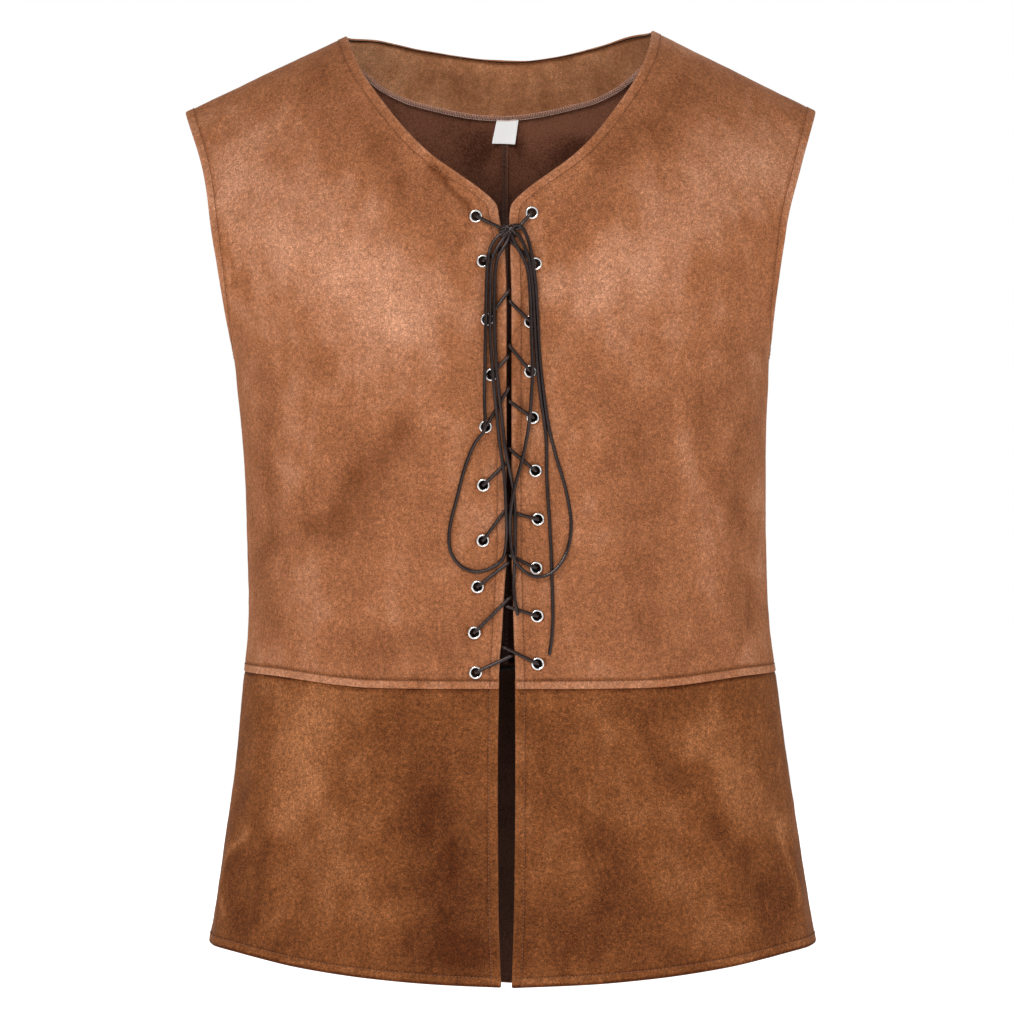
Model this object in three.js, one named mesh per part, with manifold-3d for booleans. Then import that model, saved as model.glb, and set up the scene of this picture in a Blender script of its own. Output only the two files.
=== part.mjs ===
// A sleeveless pirate vest in suede cloth, as worn: two bodice fronts laced at the centre, two bodice
// backs, a flared skirt in three pieces, a back neck facing, eyelets, and a lace tied in a bow.
// Millimetres, +Z up, the front faces -Y and the wearer's left is +X. The origin lies midway between
// the two shoulder points beside the neck, where the wearer's shoulders hold the vest.
import * as THREE from 'three';
import { mergeVertices } from 'three/addons/utils/BufferGeometryUtils.js';
import Module from 'manifold-3d';

const wasm = await Module();
wasm.setup();

// ---- Driving dimensions ----

const CLOTH = 1.5; // wall of the suede cloth
const SEAM_GAP = 0.3; // between two pieces sewn together
const SECTION_POWER = 2.3; // of the rounded section: 2 is an ellipse, more is boxier
const CENTRE_BACK = 3.7; // x of the centre back seam
const UNDERARM = -235; // z of the foot of the armhole
const WAIST = { flat: -484.2, share: 0.33 }; // waist seam height, level out to this share of the half width
const STRIP = { height: 5.2, step: 0.5, raise: 1.2 }; // turned bottom edge of the bodice
const BLADES = -120; // z of the shoulder blades, above which the back curves in to the neck
const NECK_DRIFT = 3.2 / -143; // sideways drift of the neckline's centre per mm of height
const FRONT = -1; // a face's sign is the sign of its y
const BACK = 1;
const RIGHT = -1; // a side's sign is the sign of its x
const LEFT = 1;

const EYELET_HOLE = 3.05; // radius of the hole cut in the cloth
const LACE = 1.1; // radius of the lace
const LACE_SIDES = { held: 6, free: 8 };
const LACE_BEND = 2.1; // bend radius where the held lace turns a corner
const LACE_SHARP = 0.35; // turns above this many radians are rounded
const BEND_SHARE = 0.47; // of a straight stretch, the most a bend may take at one end
const LACE_LIFT = { cloth: 1.4, ring: 2.3, knot: 3.9, inside: -3.3, insideRing: -3.9 }; // of its axis
const RING_REACH = 4.2; // how far from an eyelet's centre the lace still rides on the ring
const DIVE = 2; // from a front edge to where the lace dives beside it
const LACE_EXIT = { [RIGHT]: { x: -0.4, z: -151.6 }, [LEFT]: { x: 15.2, z: -149.8 } }; // from the knot

const PROBE = 0.05; // half the step used to find the cloth's outward direction
const MERGE = 1e-4; // corners closer than this are one
const SAMPLES = 80; // taken along a boundary to find its even steps
const NECK_SETTLE = 20; // distance from the shoulder over which the neckline's drift dies out
const V_CORNER = 0.07; // share of the neckline that turns the corner at the top of the lacing
const STRIP_REACH = 0.25; // share of a bodice's rows over which the waist seam's bow dies out
const ALONG_SEAM = { waist: 1, strip: 1 }; // steps up the turned strip, and over its edge
const FRONT_STEPS = { opening: 13, corner: 3, neckline: 8, sideSeam: 10, armhole: 14 };
const BACK_STEPS = { centre: 9, blades: 8, neckline: 7, sideSeam: 8, armhole: 16 };
const SKIRT_STEPS = 8;
const FACING_STEPS = 24;
const ALLOWANCE_STEPS = 16;
const CUTTER = { length: 14, sides: 12 }; // of an eyelet hole
const KNOT_FACES = { round: 12, high: 8 };

// ---- Tables ----

/** Rows of a table, each an object with the named columns. */
function table(columns, ...rows) {
  return rows.map((row) => Object.fromEntries(columns.map((name, i) => [name, row[i]])));
}

const BODY = table(
  ['z', 'half'],
  [5, 276], [-58, 270], [-95, 267], [-120, 264], [-150, 254], [-175, 234], [-190, 225], [-200, 218.6],
  [-215, 211], [-228, 204], [-235, 201], [-265, 198.6], [-295, 196.5], [-355, 194.5], [-415, 194.3],
  [-445, 195.5], [-476, 199], [-535, 205.5], [-595, 214], [-655, 223], [-680, 227.5], [-723, 233],
);
const ARMHOLE = table(
  ['z', 'half'],
  [-58, 235.8], [-70, 231.6], [-100, 221.9], [-130, 214.7], [-160, 209.9], [-190, 205.5], [-220, 202.2],
  [UNDERARM, 201],
);
const MIDDLE = table(
  ['z', 'x'],
  [0, 0], [-58, 0.4], [-100, 1.2], [-150, -0.9], [-205, -0.4], [-235, 1], [-295, 3], [-355, 4.5],
  [-415, 6], [-483, 7.5], [-573, 9], [-720, 9.5],
);
const DEPTH = {
  [FRONT]: table(
    ['z', 'depth'],
    [0, 112], [-100, 113], [-190, 116], [-235, 116], [-330, 112], [-480, 110], [-700, 122],
  ),
  [BACK]: table(
    ['z', 'depth'],
    [0, 100], [-60, 104], [-150, 112], [-235, 108], [-380, 92], [-480, 94], [-600, 108], [-723, 118],
  ),
};
const SHOULDER_ROLL = { [FRONT]: 190, [BACK]: 150 }; // height over which a face rolls up to the ridge
const SHOULDER = {
  [RIGHT]: { neckX: -115, neckZ: -0.6, tipX: -235.4, tipZ: -57.4 },
  [LEFT]: { neckX: 114, neckZ: 3.5, tipX: 236.2, tipZ: -56.4 },
};
const RIDGE_BLEND = 60; // half width over which the two shoulder slopes run into each other
const NECKLINE = table(
  ['out', 'z'],
  [3.5, -146], [5, -136], [8, -131.3], [18, -122.2], [32, -112], [51, -98], [68, -81.2], [85, -59.5],
  [98, -40.2], [105, -27], [111, -11.6],
);
const BACK_NECKLINE = table(
  ['x', 'z'],
  [-115, -0.6], [-95, 0.8], [-79, -0.8], [-62, -3.5], [-44, -5.4], [-24, -7.4], [11, -9.8], [41, -7.6],
  [75, -1.8], [104, 3.7], [114, 3.5],
);
const FRONT_EDGE = table(
  ['z', 'right', 'left'],
  [-146, -0.2, 7], [-165, 3.4, 7.6], [-205, 4.7, 8.7], [-390, 4.7, 8.8], [-411, 3.3, 9.6],
  [-435, 1.9, 10.1], [-485, -0.7, 11.3], [-545, -1.6, 11.5], [-640, -1.1, 10.6], [-700, 0.9, 8.8],
);
const WAIST_RISE = table(
  ['share', 'z'],
  [WAIST.share, WAIST.flat], [0.5, -483.8], [0.62, -482.2], [0.75, -479.1], [0.87, -476.4], [1, -475],
);
const WAIST_BACK = table(['share', 'z'], [0, -480], [0.6, -479.8], [1, -475]);
const HEM = {
  [FRONT]: table(
    ['share', 'z'],
    [0, -699], [0.25, -696.8], [0.45, -693.3], [0.6, -689.6], [0.7, -686.6], [0.82, -682],
    [0.93, -678.2], [1, -676.8],
  ),
  [BACK]: table(['share', 'z'], [0, -723], [0.5, -716], [0.8, -697], [1, -676.8]),
};
const FACING_EDGE = table(
  ['out', 'z'],
  [0, -53], [66, -42.7], [91, -32.6], [106, -21.4], [122, -10],
);
const FACING = { reach: 130, thickness: 1.2, ease: 1.2 }; // ease: how far it hangs clear of the back
const ALLOWANCE = { half: 2.4, top: -56, bottom: -470, thickness: 0.9, ease: 0.5 };
const LABEL = { topLeft: [-2.4, -55.3], topRight: [14.2, -55.3], foot: -3.3, drop: 16.6, thickness: 0.5 };

// The largest folds. A fold runs through (x, z) for its length, leans sideways by `slope` per mm of
// height, and stands out by `rise`, or in where that is negative, over about its width either side.
const FOLDS = table(
  ['face', 'x', 'z', 'length', 'slope', 'width', 'rise'],
  [FRONT, -172, -365, 230, 0.02, 14, -2.5],
  [FRONT, 181, -360, 210, -0.02, 14, -2.5],
  [FRONT, -150, -575, 260, -0.05, 22, -4.5],
  [FRONT, -96, -600, 240, 0.1, 24, 2.5],
  [FRONT, -50, -640, 190, 0.12, 22, -3],
  [FRONT, 36, -560, 230, 0.05, 16, -2.5],
  [FRONT, 84, -545, 220, -0.1, 20, -3.5],
  [FRONT, 112, -620, 200, -0.12, 18, 2.5],
  [FRONT, 141, -600, 230, -0.2, 18, -4],
  [FRONT, -202, -640, 150, 0.12, 10, 3.5],
  [FRONT, 216, -640, 150, -0.14, 10, 3.5],
  [BACK, -78, -330, 250, 0.06, 24, -3],
  [BACK, 84, -345, 230, -0.08, 24, -3],
  [BACK, -165, -370, 220, 0.02, 16, -2.5],
  [BACK, 172, -360, 230, -0.03, 16, -2.5],
  [BACK, -150, -600, 290, 0.14, 22, -5],
  [BACK, -104, -640, 220, 0.1, 22, 4],
  [BACK, -58, -590, 270, 0.06, 22, -4.5],
  [BACK, 4, -640, 230, 0, 24, 3.5],
  [BACK, 60, -600, 280, -0.05, 20, -4.5],
  [BACK, 108, -645, 210, -0.1, 22, 4],
  [BACK, 156, -595, 280, -0.14, 20, -5],
);
const FOLD_FADE = { side: 0.035, ridge: 14, seam: 16 }; // folds die out at side seams, shoulders, waist

const EYELETS = table(
  ['x', 'z', 'side', 'slitZ'],
  [-17.3, -143.1, RIGHT], [-12, -175.6, RIGHT, -163.5], [-9.05, -217.9, RIGHT, -197.1],
  [-6.1, -257.7, RIGHT, -244.2], [-10.2, -295.2, RIGHT, -267.1], [-11.9, -337.5, RIGHT, -319.5],
  [-12.2, -377.6, RIGHT, -352], [-16.1, -411, RIGHT, -393], [-18.4, -444.3, RIGHT, -418.3],
  [-17.5, -473.1, RIGHT, -460.5],
  [23.2, -140.6, LEFT], [25.8, -177.5, LEFT, -158.5], [22.1, -219.4, LEFT, -204.2],
  [22.1, -255.3, LEFT, -236.5], [23.9, -288.6, LEFT, -276.7], [25.8, -327, LEFT, -310.9],
  [27.6, -362.1, LEFT, -356.5], [26.3, -397.4, LEFT, -388], [27.1, -432.1, LEFT, -424.8],
  [27.5, -466.7, LEFT, -454.5],
);
const EYELET_SECTION = table(
  ['radius', 'height'],
  [2.4, 0.8], [3.6, 1], [5, 0.3], [2.75, 0.3], [2.75, -1.9], [4.4, -1.9], [2.4, -2.3],
);
const EYELET_SIDES = 8;

// Heights of the free lace's axis above the cloth.
const LEVEL = { cloth: 1.5, low: 2.8, lace: 4.1, ring: 4.9, loop: 6.9 };
const KNOT = { x: 7.4, z: -153.5, half: [7, 3.4, 4.2], tilt: -0.26 };

// ---- Curves through tables ----

/** A smooth curve through one column against another, which never overshoots its rows. */
function curveThrough(rows, from, to) {
  const sorted = [...rows].sort((a, b) => a[from] - b[from]);
  const at = sorted.map((row) => row[from]);
  const value = sorted.map((row) => row[to]);
  const last = at.length - 1;
  const step = at.slice(1).map((x, i) => x - at[i]);
  const slope = step.map((width, i) => (value[i + 1] - value[i]) / width);
  const tangent = at.map((_, i) => {
    if (i === 0 || i === last) return slope[Math.max(i - 1, 0)];
    if (slope[i - 1] * slope[i] <= 0) return 0;
    const before = 2 * step[i] + step[i - 1];
    const after = step[i] + 2 * step[i - 1];
    return (before + after) / (before / slope[i - 1] + after / slope[i]);
  });
  return (x) => {
    if (x <= at[0]) return value[0];
    if (x >= at[last]) return value[last];
    const i = at.findIndex((end) => end > x) - 1;
    const t = (x - at[i]) / step[i];
    const s = 1 - t;
    const ends = value[i] * s * s * (1 + 2 * t) + value[i + 1] * t * t * (1 + 2 * s);
    return ends + step[i] * (tangent[i] * t * s * s - tangent[i + 1] * t * t * s);
  };
}

const bodyHalf = curveThrough(BODY, 'z', 'half');
const armholeHalf = curveThrough(ARMHOLE, 'z', 'half');
const middle = curveThrough(MIDDLE, 'z', 'x');
const depth = {
  [FRONT]: curveThrough(DEPTH[FRONT], 'z', 'depth'),
  [BACK]: curveThrough(DEPTH[BACK], 'z', 'depth'),
};
const frontEdge = {
  [RIGHT]: curveThrough(FRONT_EDGE, 'z', 'right'),
  [LEFT]: curveThrough(FRONT_EDGE, 'z', 'left'),
};
const backNeckline = curveThrough(BACK_NECKLINE, 'x', 'z');
const waist = {
  [FRONT]: curveThrough(WAIST_RISE, 'share', 'z'),
  [BACK]: curveThrough(WAIST_BACK, 'share', 'z'),
};
const hem = {
  [FRONT]: curveThrough(HEM[FRONT], 'share', 'z'),
  [BACK]: curveThrough(HEM[BACK], 'share', 'z'),
};
const facingEdge = curveThrough(FACING_EDGE, 'out', 'z');
const { lerp, smoothstep } = THREE.MathUtils;

// ---- The cloth's surface ----

/** Height of the shoulder ridge, where front and back meet, above the ground plan at x. */
function ridge(x) {
  const slope = (side) => {
    const { neckX, neckZ, tipX, tipZ } = SHOULDER[side];
    return lerp(neckZ, tipZ, (x - neckX) / (tipX - neckX));
  };
  return lerp(slope(RIGHT), slope(LEFT), smoothstep(x, -RIDGE_BLEND, RIDGE_BLEND));
}

/** How far out x lies, as a share of the half width at that height, -1 to 1. */
function widthShare(x, z) {
  return (x - middle(z)) / bodyHalf(z);
}

/** A power that keeps its sign. */
function signedPower(value, power) {
  return Math.sign(value) * Math.abs(value) ** power;
}

/** How far the shoulder roll has come at a point: 0 at the ridge, 1 where the face is full. */
function rolled(face, x, z) {
  const drop = (ridge(x) - z) / SHOULDER_ROLL[face];
  return 1 - (1 - Math.min(drop, 1)) ** 2;
}

/** Zero on the cloth, above zero outside it. */
function beyondCloth(face, x, y, z) {
  const section = 1 - Math.abs(widthShare(x, z)) ** SECTION_POWER;
  const roll = signedPower(rolled(face, x, z), SECTION_POWER / 2);
  return (Math.abs(y) / depth[face](z)) ** SECTION_POWER - section * roll;
}

/** The cloth's outward direction at a point on it. */
function outward(face, { x, y, z }) {
  const across = beyondCloth(face, x + PROBE, y, z) - beyondCloth(face, x - PROBE, y, z);
  const through = beyondCloth(face, x, y + PROBE, z) - beyondCloth(face, x, y - PROBE, z);
  const up = beyondCloth(face, x, y, z + PROBE) - beyondCloth(face, x, y, z - PROBE);
  return new THREE.Vector3(across, through, up).normalize();
}

/** How far the folds stand out at (x, z). */
function foldRise(face, x, z) {
  const share = widthShare(x, z);
  const side = smoothstep(1 - Math.abs(share), 0, FOLD_FADE.side);
  const shoulder = smoothstep(ridge(x) - z, 0, FOLD_FADE.ridge);
  const seam = smoothstep(Math.abs(z - waist[face](Math.abs(share))), 0, FOLD_FADE.seam);
  const rise = FOLDS.filter((fold) => fold.face === face).reduce((sum, fold) => {
    const along = Math.min(Math.abs(z - fold.z) / (fold.length / 2), 1);
    const off = (x - fold.x - fold.slope * (z - fold.z)) / fold.width;
    return sum + fold.rise * Math.cos((along * Math.PI) / 2) ** 2 * Math.exp(-off * off);
  }, 0);
  return rise * side * shoulder * seam;
}

/** A point of the cloth over (x, z), with its outward direction, lifted off the cloth by `lift`. */
function clothPoint(face, x, z, lift = 0) {
  const section = Math.max(1 - Math.abs(widthShare(x, z)) ** SECTION_POWER, 0) ** (1 / SECTION_POWER);
  const roll = Math.sqrt(Math.max(rolled(face, x, z), 0));
  const point = new THREE.Vector3(x, face * depth[face](z) * section * roll, z);
  const normal = outward(face, point);
  point.addScaledVector(normal, foldRise(face, x, z) + lift);
  return { point, normal };
}

// ---- Boundaries: paths over the cloth in (x, z), from share 0 to 1 ----

/** A straight path in one value, with the other worked out from it. */
function upPath(from, to, xAt) {
  return (s) => {
    const z = lerp(from, to, s);
    return { x: xAt(z), z };
  };
}

/** The side seam at a height. */
function sideSeam(side) {
  return (z) => middle(z) + side * bodyHalf(z);
}

/** The armhole's edge at a height. */
function armholeEdge(side) {
  return (z) => middle(z) + side * armholeHalf(z);
}

/** One side of the front neckline, from the top of the lacing to the shoulder. */
function frontNeckline(side) {
  const { neckX, neckZ } = SHOULDER[side];
  const height = curveThrough([...NECKLINE, { out: Math.abs(neckX), z: neckZ }], 'out', 'z');
  return (s) => {
    const out = lerp(NECKLINE[0].out, Math.abs(neckX), s);
    const z = height(out);
    const settled = Math.min((Math.abs(neckX) - out) / NECK_SETTLE, 1);
    return { x: NECK_DRIFT * Math.min(z, 0) * settled + side * out, z };
  };
}

/** The back neckline between two places across. */
function backNecklinePath(from, to) {
  return (s) => {
    const x = lerp(from, to, s);
    return { x, z: backNeckline(x) };
  };
}

/** The (x, z) places that cut each stretch of a boundary in even steps along the cloth. */
function boundary(face, ...stretches) {
  const ends = [];
  for (const { path, steps } of stretches) {
    const samples = Array.from({ length: SAMPLES + 1 }, (_, i) => path(i / SAMPLES));
    const places = samples.map(({ x, z }) => clothPoint(face, x, z).point);
    const run = [0];
    for (let i = 1; i <= SAMPLES; i++) {
      run.push(run[i - 1] + places[i].distanceTo(places[i - 1]));
    }
    for (let k = ends.length ? 1 : 0; k <= steps; k++) {
      const target = (run[SAMPLES] * k) / steps;
      const i = Math.min(Math.max(run.findIndex((length) => length >= target), 1), SAMPLES);
      const t = (target - run[i - 1]) / (run[i] - run[i - 1] || 1);
      ends.push({
        x: lerp(samples[i - 1].x, samples[i].x, t),
        z: lerp(samples[i - 1].z, samples[i].z, t),
      });
    }
  }
  return ends;
}

// ---- Panels ----

/** Where between a row's ends its columns stand, closer together where the section turns faster. */
function columnShares(side, from, to, turns) {
  const turnOf = ({ x, z }) => {
    const share = THREE.MathUtils.clamp(side * widthShare(x, z), -1, 1);
    return Math.asin(signedPower(share, SECTION_POWER / 2));
  };
  const shareOf = (turn) => signedPower(Math.sin(turn), 2 / SECTION_POWER);
  const start = turnOf(from);
  const end = turnOf(to);
  const first = shareOf(start);
  return turns.map((t) => (shareOf(lerp(start, end, t)) - first) / (shareOf(end) - first));
}

/**
 * The grid of points of a panel. Its rows run from `inner` to `outer`, lists of (x, z) row ends.
 * `bottom` and `top` give the z of curved end rows, whose bow dies out over `reach` of the rows.
 * With `crest`, the last row runs along the shoulder ridge.
 */
function panelGrid(shape) {
  const { face, side, inner, outer, turns, even, bottom, top, crest } = shape;
  const { reach = 1, lift = () => 0 } = shape;
  const last = inner.length - 1;
  const bow = (curve, row, share) => {
    if (!curve) return 0;
    const x = lerp(inner[row].x, outer[row].x, share);
    const chord = lerp(inner[row].z, outer[row].z, share);
    return curve(Math.abs(widthShare(x, chord))) - chord;
  };
  return inner.map((from, i) => {
    const to = outer[i];
    const shares = even ? turns : columnShares(side, from, to, turns);
    return shares.map((share) => {
      const x = lerp(from.x, to.x, share);
      const low = Math.max(1 - i / last / reach, 0) * bow(bottom, 0, share);
      const high = Math.max(1 - (1 - i / last) / reach, 0) * bow(top, last, share);
      const z = crest && i === last ? ridge(x) : lerp(from.z, to.z, share) + low + high;
      const { point, normal } = clothPoint(face, x, z, lift(i));
      point.y += (face * SEAM_GAP) / 2;
      return { point, normal };
    });
  });
}

/** Six times the volume that a closed geometry's faces enclose, below zero if they point inwards. */
function enclosed(geometry) {
  const { attributes, index } = geometry;
  const corner = (k) => new THREE.Vector3().fromBufferAttribute(attributes.position, index.getX(k));
  let sum = 0;
  for (let k = 0; k < index.count; k += 3) {
    sum += corner(k).dot(corner(k + 1).cross(corner(k + 2)));
  }
  return sum;
}

/** A geometry as one closed body: shared corners merged, faces pointing out. */
function closed(geometry) {
  geometry.deleteAttribute('normal');
  geometry.deleteAttribute('uv');
  const merged = mergeVertices(geometry, MERGE);
  if (enclosed(merged) < 0) merged.setIndex([...merged.index.array].reverse());
  return merged;
}

/** A wall with its outer side on a grid of points and its inner side `thickness` in from them. */
function wallGeometry(grid, thickness) {
  const rows = grid.length;
  const columns = grid[0].length;
  const positions = [0, thickness].flatMap((inset) =>
    grid.flat().flatMap(({ point, normal }) => point.clone().addScaledVector(normal, -inset).toArray()),
  );
  const at = (layer, i, j) => (layer * rows + i) * columns + j;
  const index = [];
  const quad = (a, b, c, d) => index.push(a, b, c, a, c, d);
  for (let i = 0; i < rows - 1; i++) {
    for (let j = 0; j < columns - 1; j++) {
      quad(at(0, i, j), at(0, i, j + 1), at(0, i + 1, j + 1), at(0, i + 1, j));
      quad(at(1, i, j), at(1, i + 1, j), at(1, i + 1, j + 1), at(1, i, j + 1));
    }
  }
  const [top, end] = [rows - 1, columns - 1];
  for (let j = 0; j < end; j++) {
    quad(at(0, 0, j), at(1, 0, j), at(1, 0, j + 1), at(0, 0, j + 1));
    quad(at(0, top, j), at(0, top, j + 1), at(1, top, j + 1), at(1, top, j));
  }
  for (let i = 0; i < top; i++) {
    quad(at(0, i, 0), at(0, i + 1, 0), at(1, i + 1, 0), at(1, i, 0));
    quad(at(0, i, end), at(1, i, end), at(1, i + 1, end), at(0, i + 1, end));
  }
  const geometry = new THREE.BufferGeometry();
  geometry.setAttribute('position', new THREE.Float32BufferAttribute(positions, 3));
  geometry.setIndex(index);
  return closed(geometry);
}

// Shares of a row's turn at which its columns stand.
const BODICE_TURNS = [0, 0.035, 0.08, 0.14, 0.23, 0.34, 0.46, 0.58, 0.7, 0.82, 0.92, 1];
const BACK_TURNS = [0, 0.06, 0.13, 0.22, 0.34, 0.46, 0.58, 0.7, 0.82, 0.92, 1];
const SKIRT_TURNS = [0, 0.07, 0.15, 0.24, 0.33, 0.42, 0.51, 0.6, 0.69, 0.78, 0.86, 0.93, 1];

// Shares of a row's width at which the columns of the small inner pieces stand.
const FACING_COLUMNS = [0, 0.25, 0.5, 0.75, 1];
const ALLOWANCE_COLUMNS = [0, 1];
const LABEL_SHARES = [0, 0.5, 1];

/** The bottom of a bodice boundary, stepped so that the turned strip has an edge of its own. */
function stripStretches(start, xAt) {
  const top = start + STRIP.height;
  return [
    { path: upPath(start, top, xAt), steps: ALONG_SEAM.waist },
    { path: upPath(top, top + STRIP.step, xAt), steps: ALONG_SEAM.strip },
  ];
}

/** How far a bodice row stands proud: the turned strip's two rows, and none above. */
const stripRaise = (row) => (row < 2 ? STRIP.raise : 0);

/** One bodice front, before its eyelet holes. */
function bodiceFront(side) {
  const waistIn = WAIST.flat;
  const waistOut = waist[FRONT](1);
  const rise = STRIP.height + STRIP.step;
  const edge = frontEdge[side];
  const seam = sideSeam(side);
  const laced = NECKLINE[0].z;
  const neckline = frontNeckline(side);
  const inner = boundary(
    FRONT,
    ...stripStretches(waistIn, edge),
    { path: upPath(waistIn + rise, laced, edge), steps: FRONT_STEPS.opening },
    { path: (s) => neckline(s * V_CORNER), steps: FRONT_STEPS.corner },
    { path: (s) => neckline(lerp(V_CORNER, 1, s)), steps: FRONT_STEPS.neckline },
  );
  const outer = boundary(
    FRONT,
    ...stripStretches(waistOut, seam),
    { path: upPath(waistOut + rise, UNDERARM, seam), steps: FRONT_STEPS.sideSeam },
    { path: upPath(UNDERARM, SHOULDER[side].tipZ, armholeEdge(side)), steps: FRONT_STEPS.armhole },
  );
  const shape = { face: FRONT, side, inner, outer, turns: BODICE_TURNS, lift: stripRaise };
  const ends = { bottom: waist[FRONT], reach: STRIP_REACH, crest: true };
  return wallGeometry(panelGrid({ ...shape, ...ends }), CLOTH);
}

/** One bodice back, from the centre back seam to the side seam and armhole. */
function bodiceBack(side) {
  const waistIn = waist[BACK](0);
  const waistOut = waist[BACK](1);
  const rise = STRIP.height + STRIP.step;
  const centre = () => CENTRE_BACK + (side * SEAM_GAP) / 2;
  const seam = sideSeam(side);
  const inner = boundary(
    BACK,
    ...stripStretches(waistIn, centre),
    { path: upPath(waistIn + rise, BLADES, centre), steps: BACK_STEPS.centre },
    { path: upPath(BLADES, backNeckline(centre()), centre), steps: BACK_STEPS.blades },
    { path: backNecklinePath(centre(), SHOULDER[side].neckX), steps: BACK_STEPS.neckline },
  );
  const outer = boundary(
    BACK,
    ...stripStretches(waistOut, seam),
    { path: upPath(waistOut + rise, UNDERARM, seam), steps: BACK_STEPS.sideSeam },
    { path: upPath(UNDERARM, SHOULDER[side].tipZ, armholeEdge(side)), steps: BACK_STEPS.armhole },
  );
  const shape = { face: BACK, side, inner, outer, turns: BACK_TURNS, lift: stripRaise };
  const ends = { bottom: waist[BACK], reach: STRIP_REACH, crest: true };
  return wallGeometry(panelGrid({ ...shape, ...ends }), CLOTH);
}

/** Row ends of a skirt boundary, from the hem up to just under the waist seam. */
function skirtBoundary(face, share, xAt) {
  const path = upPath(hem[face](share), waist[face](share) - SEAM_GAP, xAt);
  return boundary(face, { path, steps: SKIRT_STEPS });
}

/** One skirt front, from the open front edge to the side seam. */
function skirtFront(side) {
  const shape = {
    face: FRONT,
    side,
    inner: skirtBoundary(FRONT, 0, frontEdge[side]),
    outer: skirtBoundary(FRONT, 1, sideSeam(side)),
    turns: SKIRT_TURNS,
  };
  const top = (share) => waist[FRONT](share) - SEAM_GAP;
  return wallGeometry(panelGrid({ ...shape, bottom: hem[FRONT], top }), CLOTH);
}

/** The skirt's back, one piece from side seam to side seam. */
function skirtBack() {
  const halves = SKIRT_TURNS.map((turn) => turn / 2);
  const rightTurns = halves.map((turn) => 0.5 - turn).reverse();
  const leftTurns = halves.slice(1).map((turn) => 0.5 + turn);
  const shape = {
    face: BACK,
    side: LEFT,
    inner: skirtBoundary(BACK, 1, sideSeam(RIGHT)),
    outer: skirtBoundary(BACK, 1, sideSeam(LEFT)),
    turns: [...rightTurns, ...leftTurns],
  };
  const top = (share) => waist[BACK](share) - SEAM_GAP;
  return wallGeometry(panelGrid({ ...shape, bottom: hem[BACK], top }), CLOTH);
}

const UNDER_BACK = -(CLOTH + SEAM_GAP); // lift of what lies on the inside of the back

/** The back neck facing, a crescent inside the back that ends in the shoulder seams. */
function backNeckFacing() {
  const inner = boundary(BACK, {
    path: backNecklinePath(SHOULDER[RIGHT].neckX, SHOULDER[LEFT].neckX),
    steps: FACING_STEPS,
  });
  const lower = curveThrough(
    [RIGHT, LEFT]
      .map((side) => ({ x: side * FACING.reach, z: ridge(side * FACING.reach) }))
      .concat(FACING_EDGE.map(({ out, z }) => ({ x: out, z })))
      .concat(FACING_EDGE.slice(1).map(({ out, z }) => ({ x: -out, z }))),
    'x',
    'z',
  );
  const path = (s) => {
    const x = lerp(-FACING.reach, FACING.reach, s);
    return { x, z: lower(x) };
  };
  const outer = boundary(BACK, { path, steps: FACING_STEPS });
  const lift = () => UNDER_BACK - FACING.ease;
  const shape = { face: BACK, side: LEFT, inner, outer, turns: FACING_COLUMNS, even: true, lift };
  return wallGeometry(panelGrid(shape), FACING.thickness);
}

/** The overlocked allowance of the centre back seam, pressed flat inside the back. */
function centreBackAllowance() {
  const edge = (side) =>
    boundary(BACK, {
      path: upPath(ALLOWANCE.top, ALLOWANCE.bottom, () => CENTRE_BACK + side * ALLOWANCE.half),
      steps: ALLOWANCE_STEPS,
    });
  const lift = () => UNDER_BACK - ALLOWANCE.ease;
  const ends = { inner: edge(RIGHT), outer: edge(LEFT) };
  const shape = { face: BACK, side: LEFT, ...ends, turns: ALLOWANCE_COLUMNS, even: true, lift };
  return wallGeometry(panelGrid(shape), ALLOWANCE.thickness);
}

/** The bare neck label, hanging under the facing. */
function neckLabel() {
  const { topLeft, topRight, foot, drop, thickness } = LABEL;
  const edge = ([x, z]) => LABEL_SHARES.map((s) => ({ x: x + foot * s, z: z - drop * s }));
  const lift = () => UNDER_BACK - ALLOWANCE.ease - ALLOWANCE.thickness - SEAM_GAP;
  const ends = { inner: edge(topLeft), outer: edge(topRight) };
  const shape = { face: BACK, side: LEFT, ...ends, turns: LABEL_SHARES, even: true, lift };
  return wallGeometry(panelGrid(shape), thickness);
}

// ---- Eyelets ----

/** The eyelets of one side, from the top down. */
function eyeletsOf(side) {
  return EYELETS.filter((eyelet) => eyelet.side === side);
}

/** Where an eyelet sits on the front, and the way it faces. */
function eyeletSeat({ x, z }) {
  const { point, normal } = clothPoint(FRONT, x, z);
  point.y -= SEAM_GAP / 2;
  const turn = new THREE.Quaternion().setFromUnitVectors(new THREE.Vector3(0, 1, 0), normal);
  return { point, turn };
}

/** An eyelet: a rolled ring outside, a barrel through the cloth and a washer inside. */
function eyeletGeometry() {
  const profile = [...EYELET_SECTION, EYELET_SECTION[0]];
  const points = profile.map(({ radius, height }) => new THREE.Vector2(radius, height));
  return closed(new THREE.LatheGeometry(points, EYELET_SIDES));
}

/** A geometry as a solid that can be cut. */
function toSolid(geometry) {
  const vertProperties = Float32Array.from(geometry.attributes.position.array);
  const triVerts = Uint32Array.from(geometry.index.array);
  return new wasm.Manifold(new wasm.Mesh({ numProp: 3, vertProperties, triVerts }));
}

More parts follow.
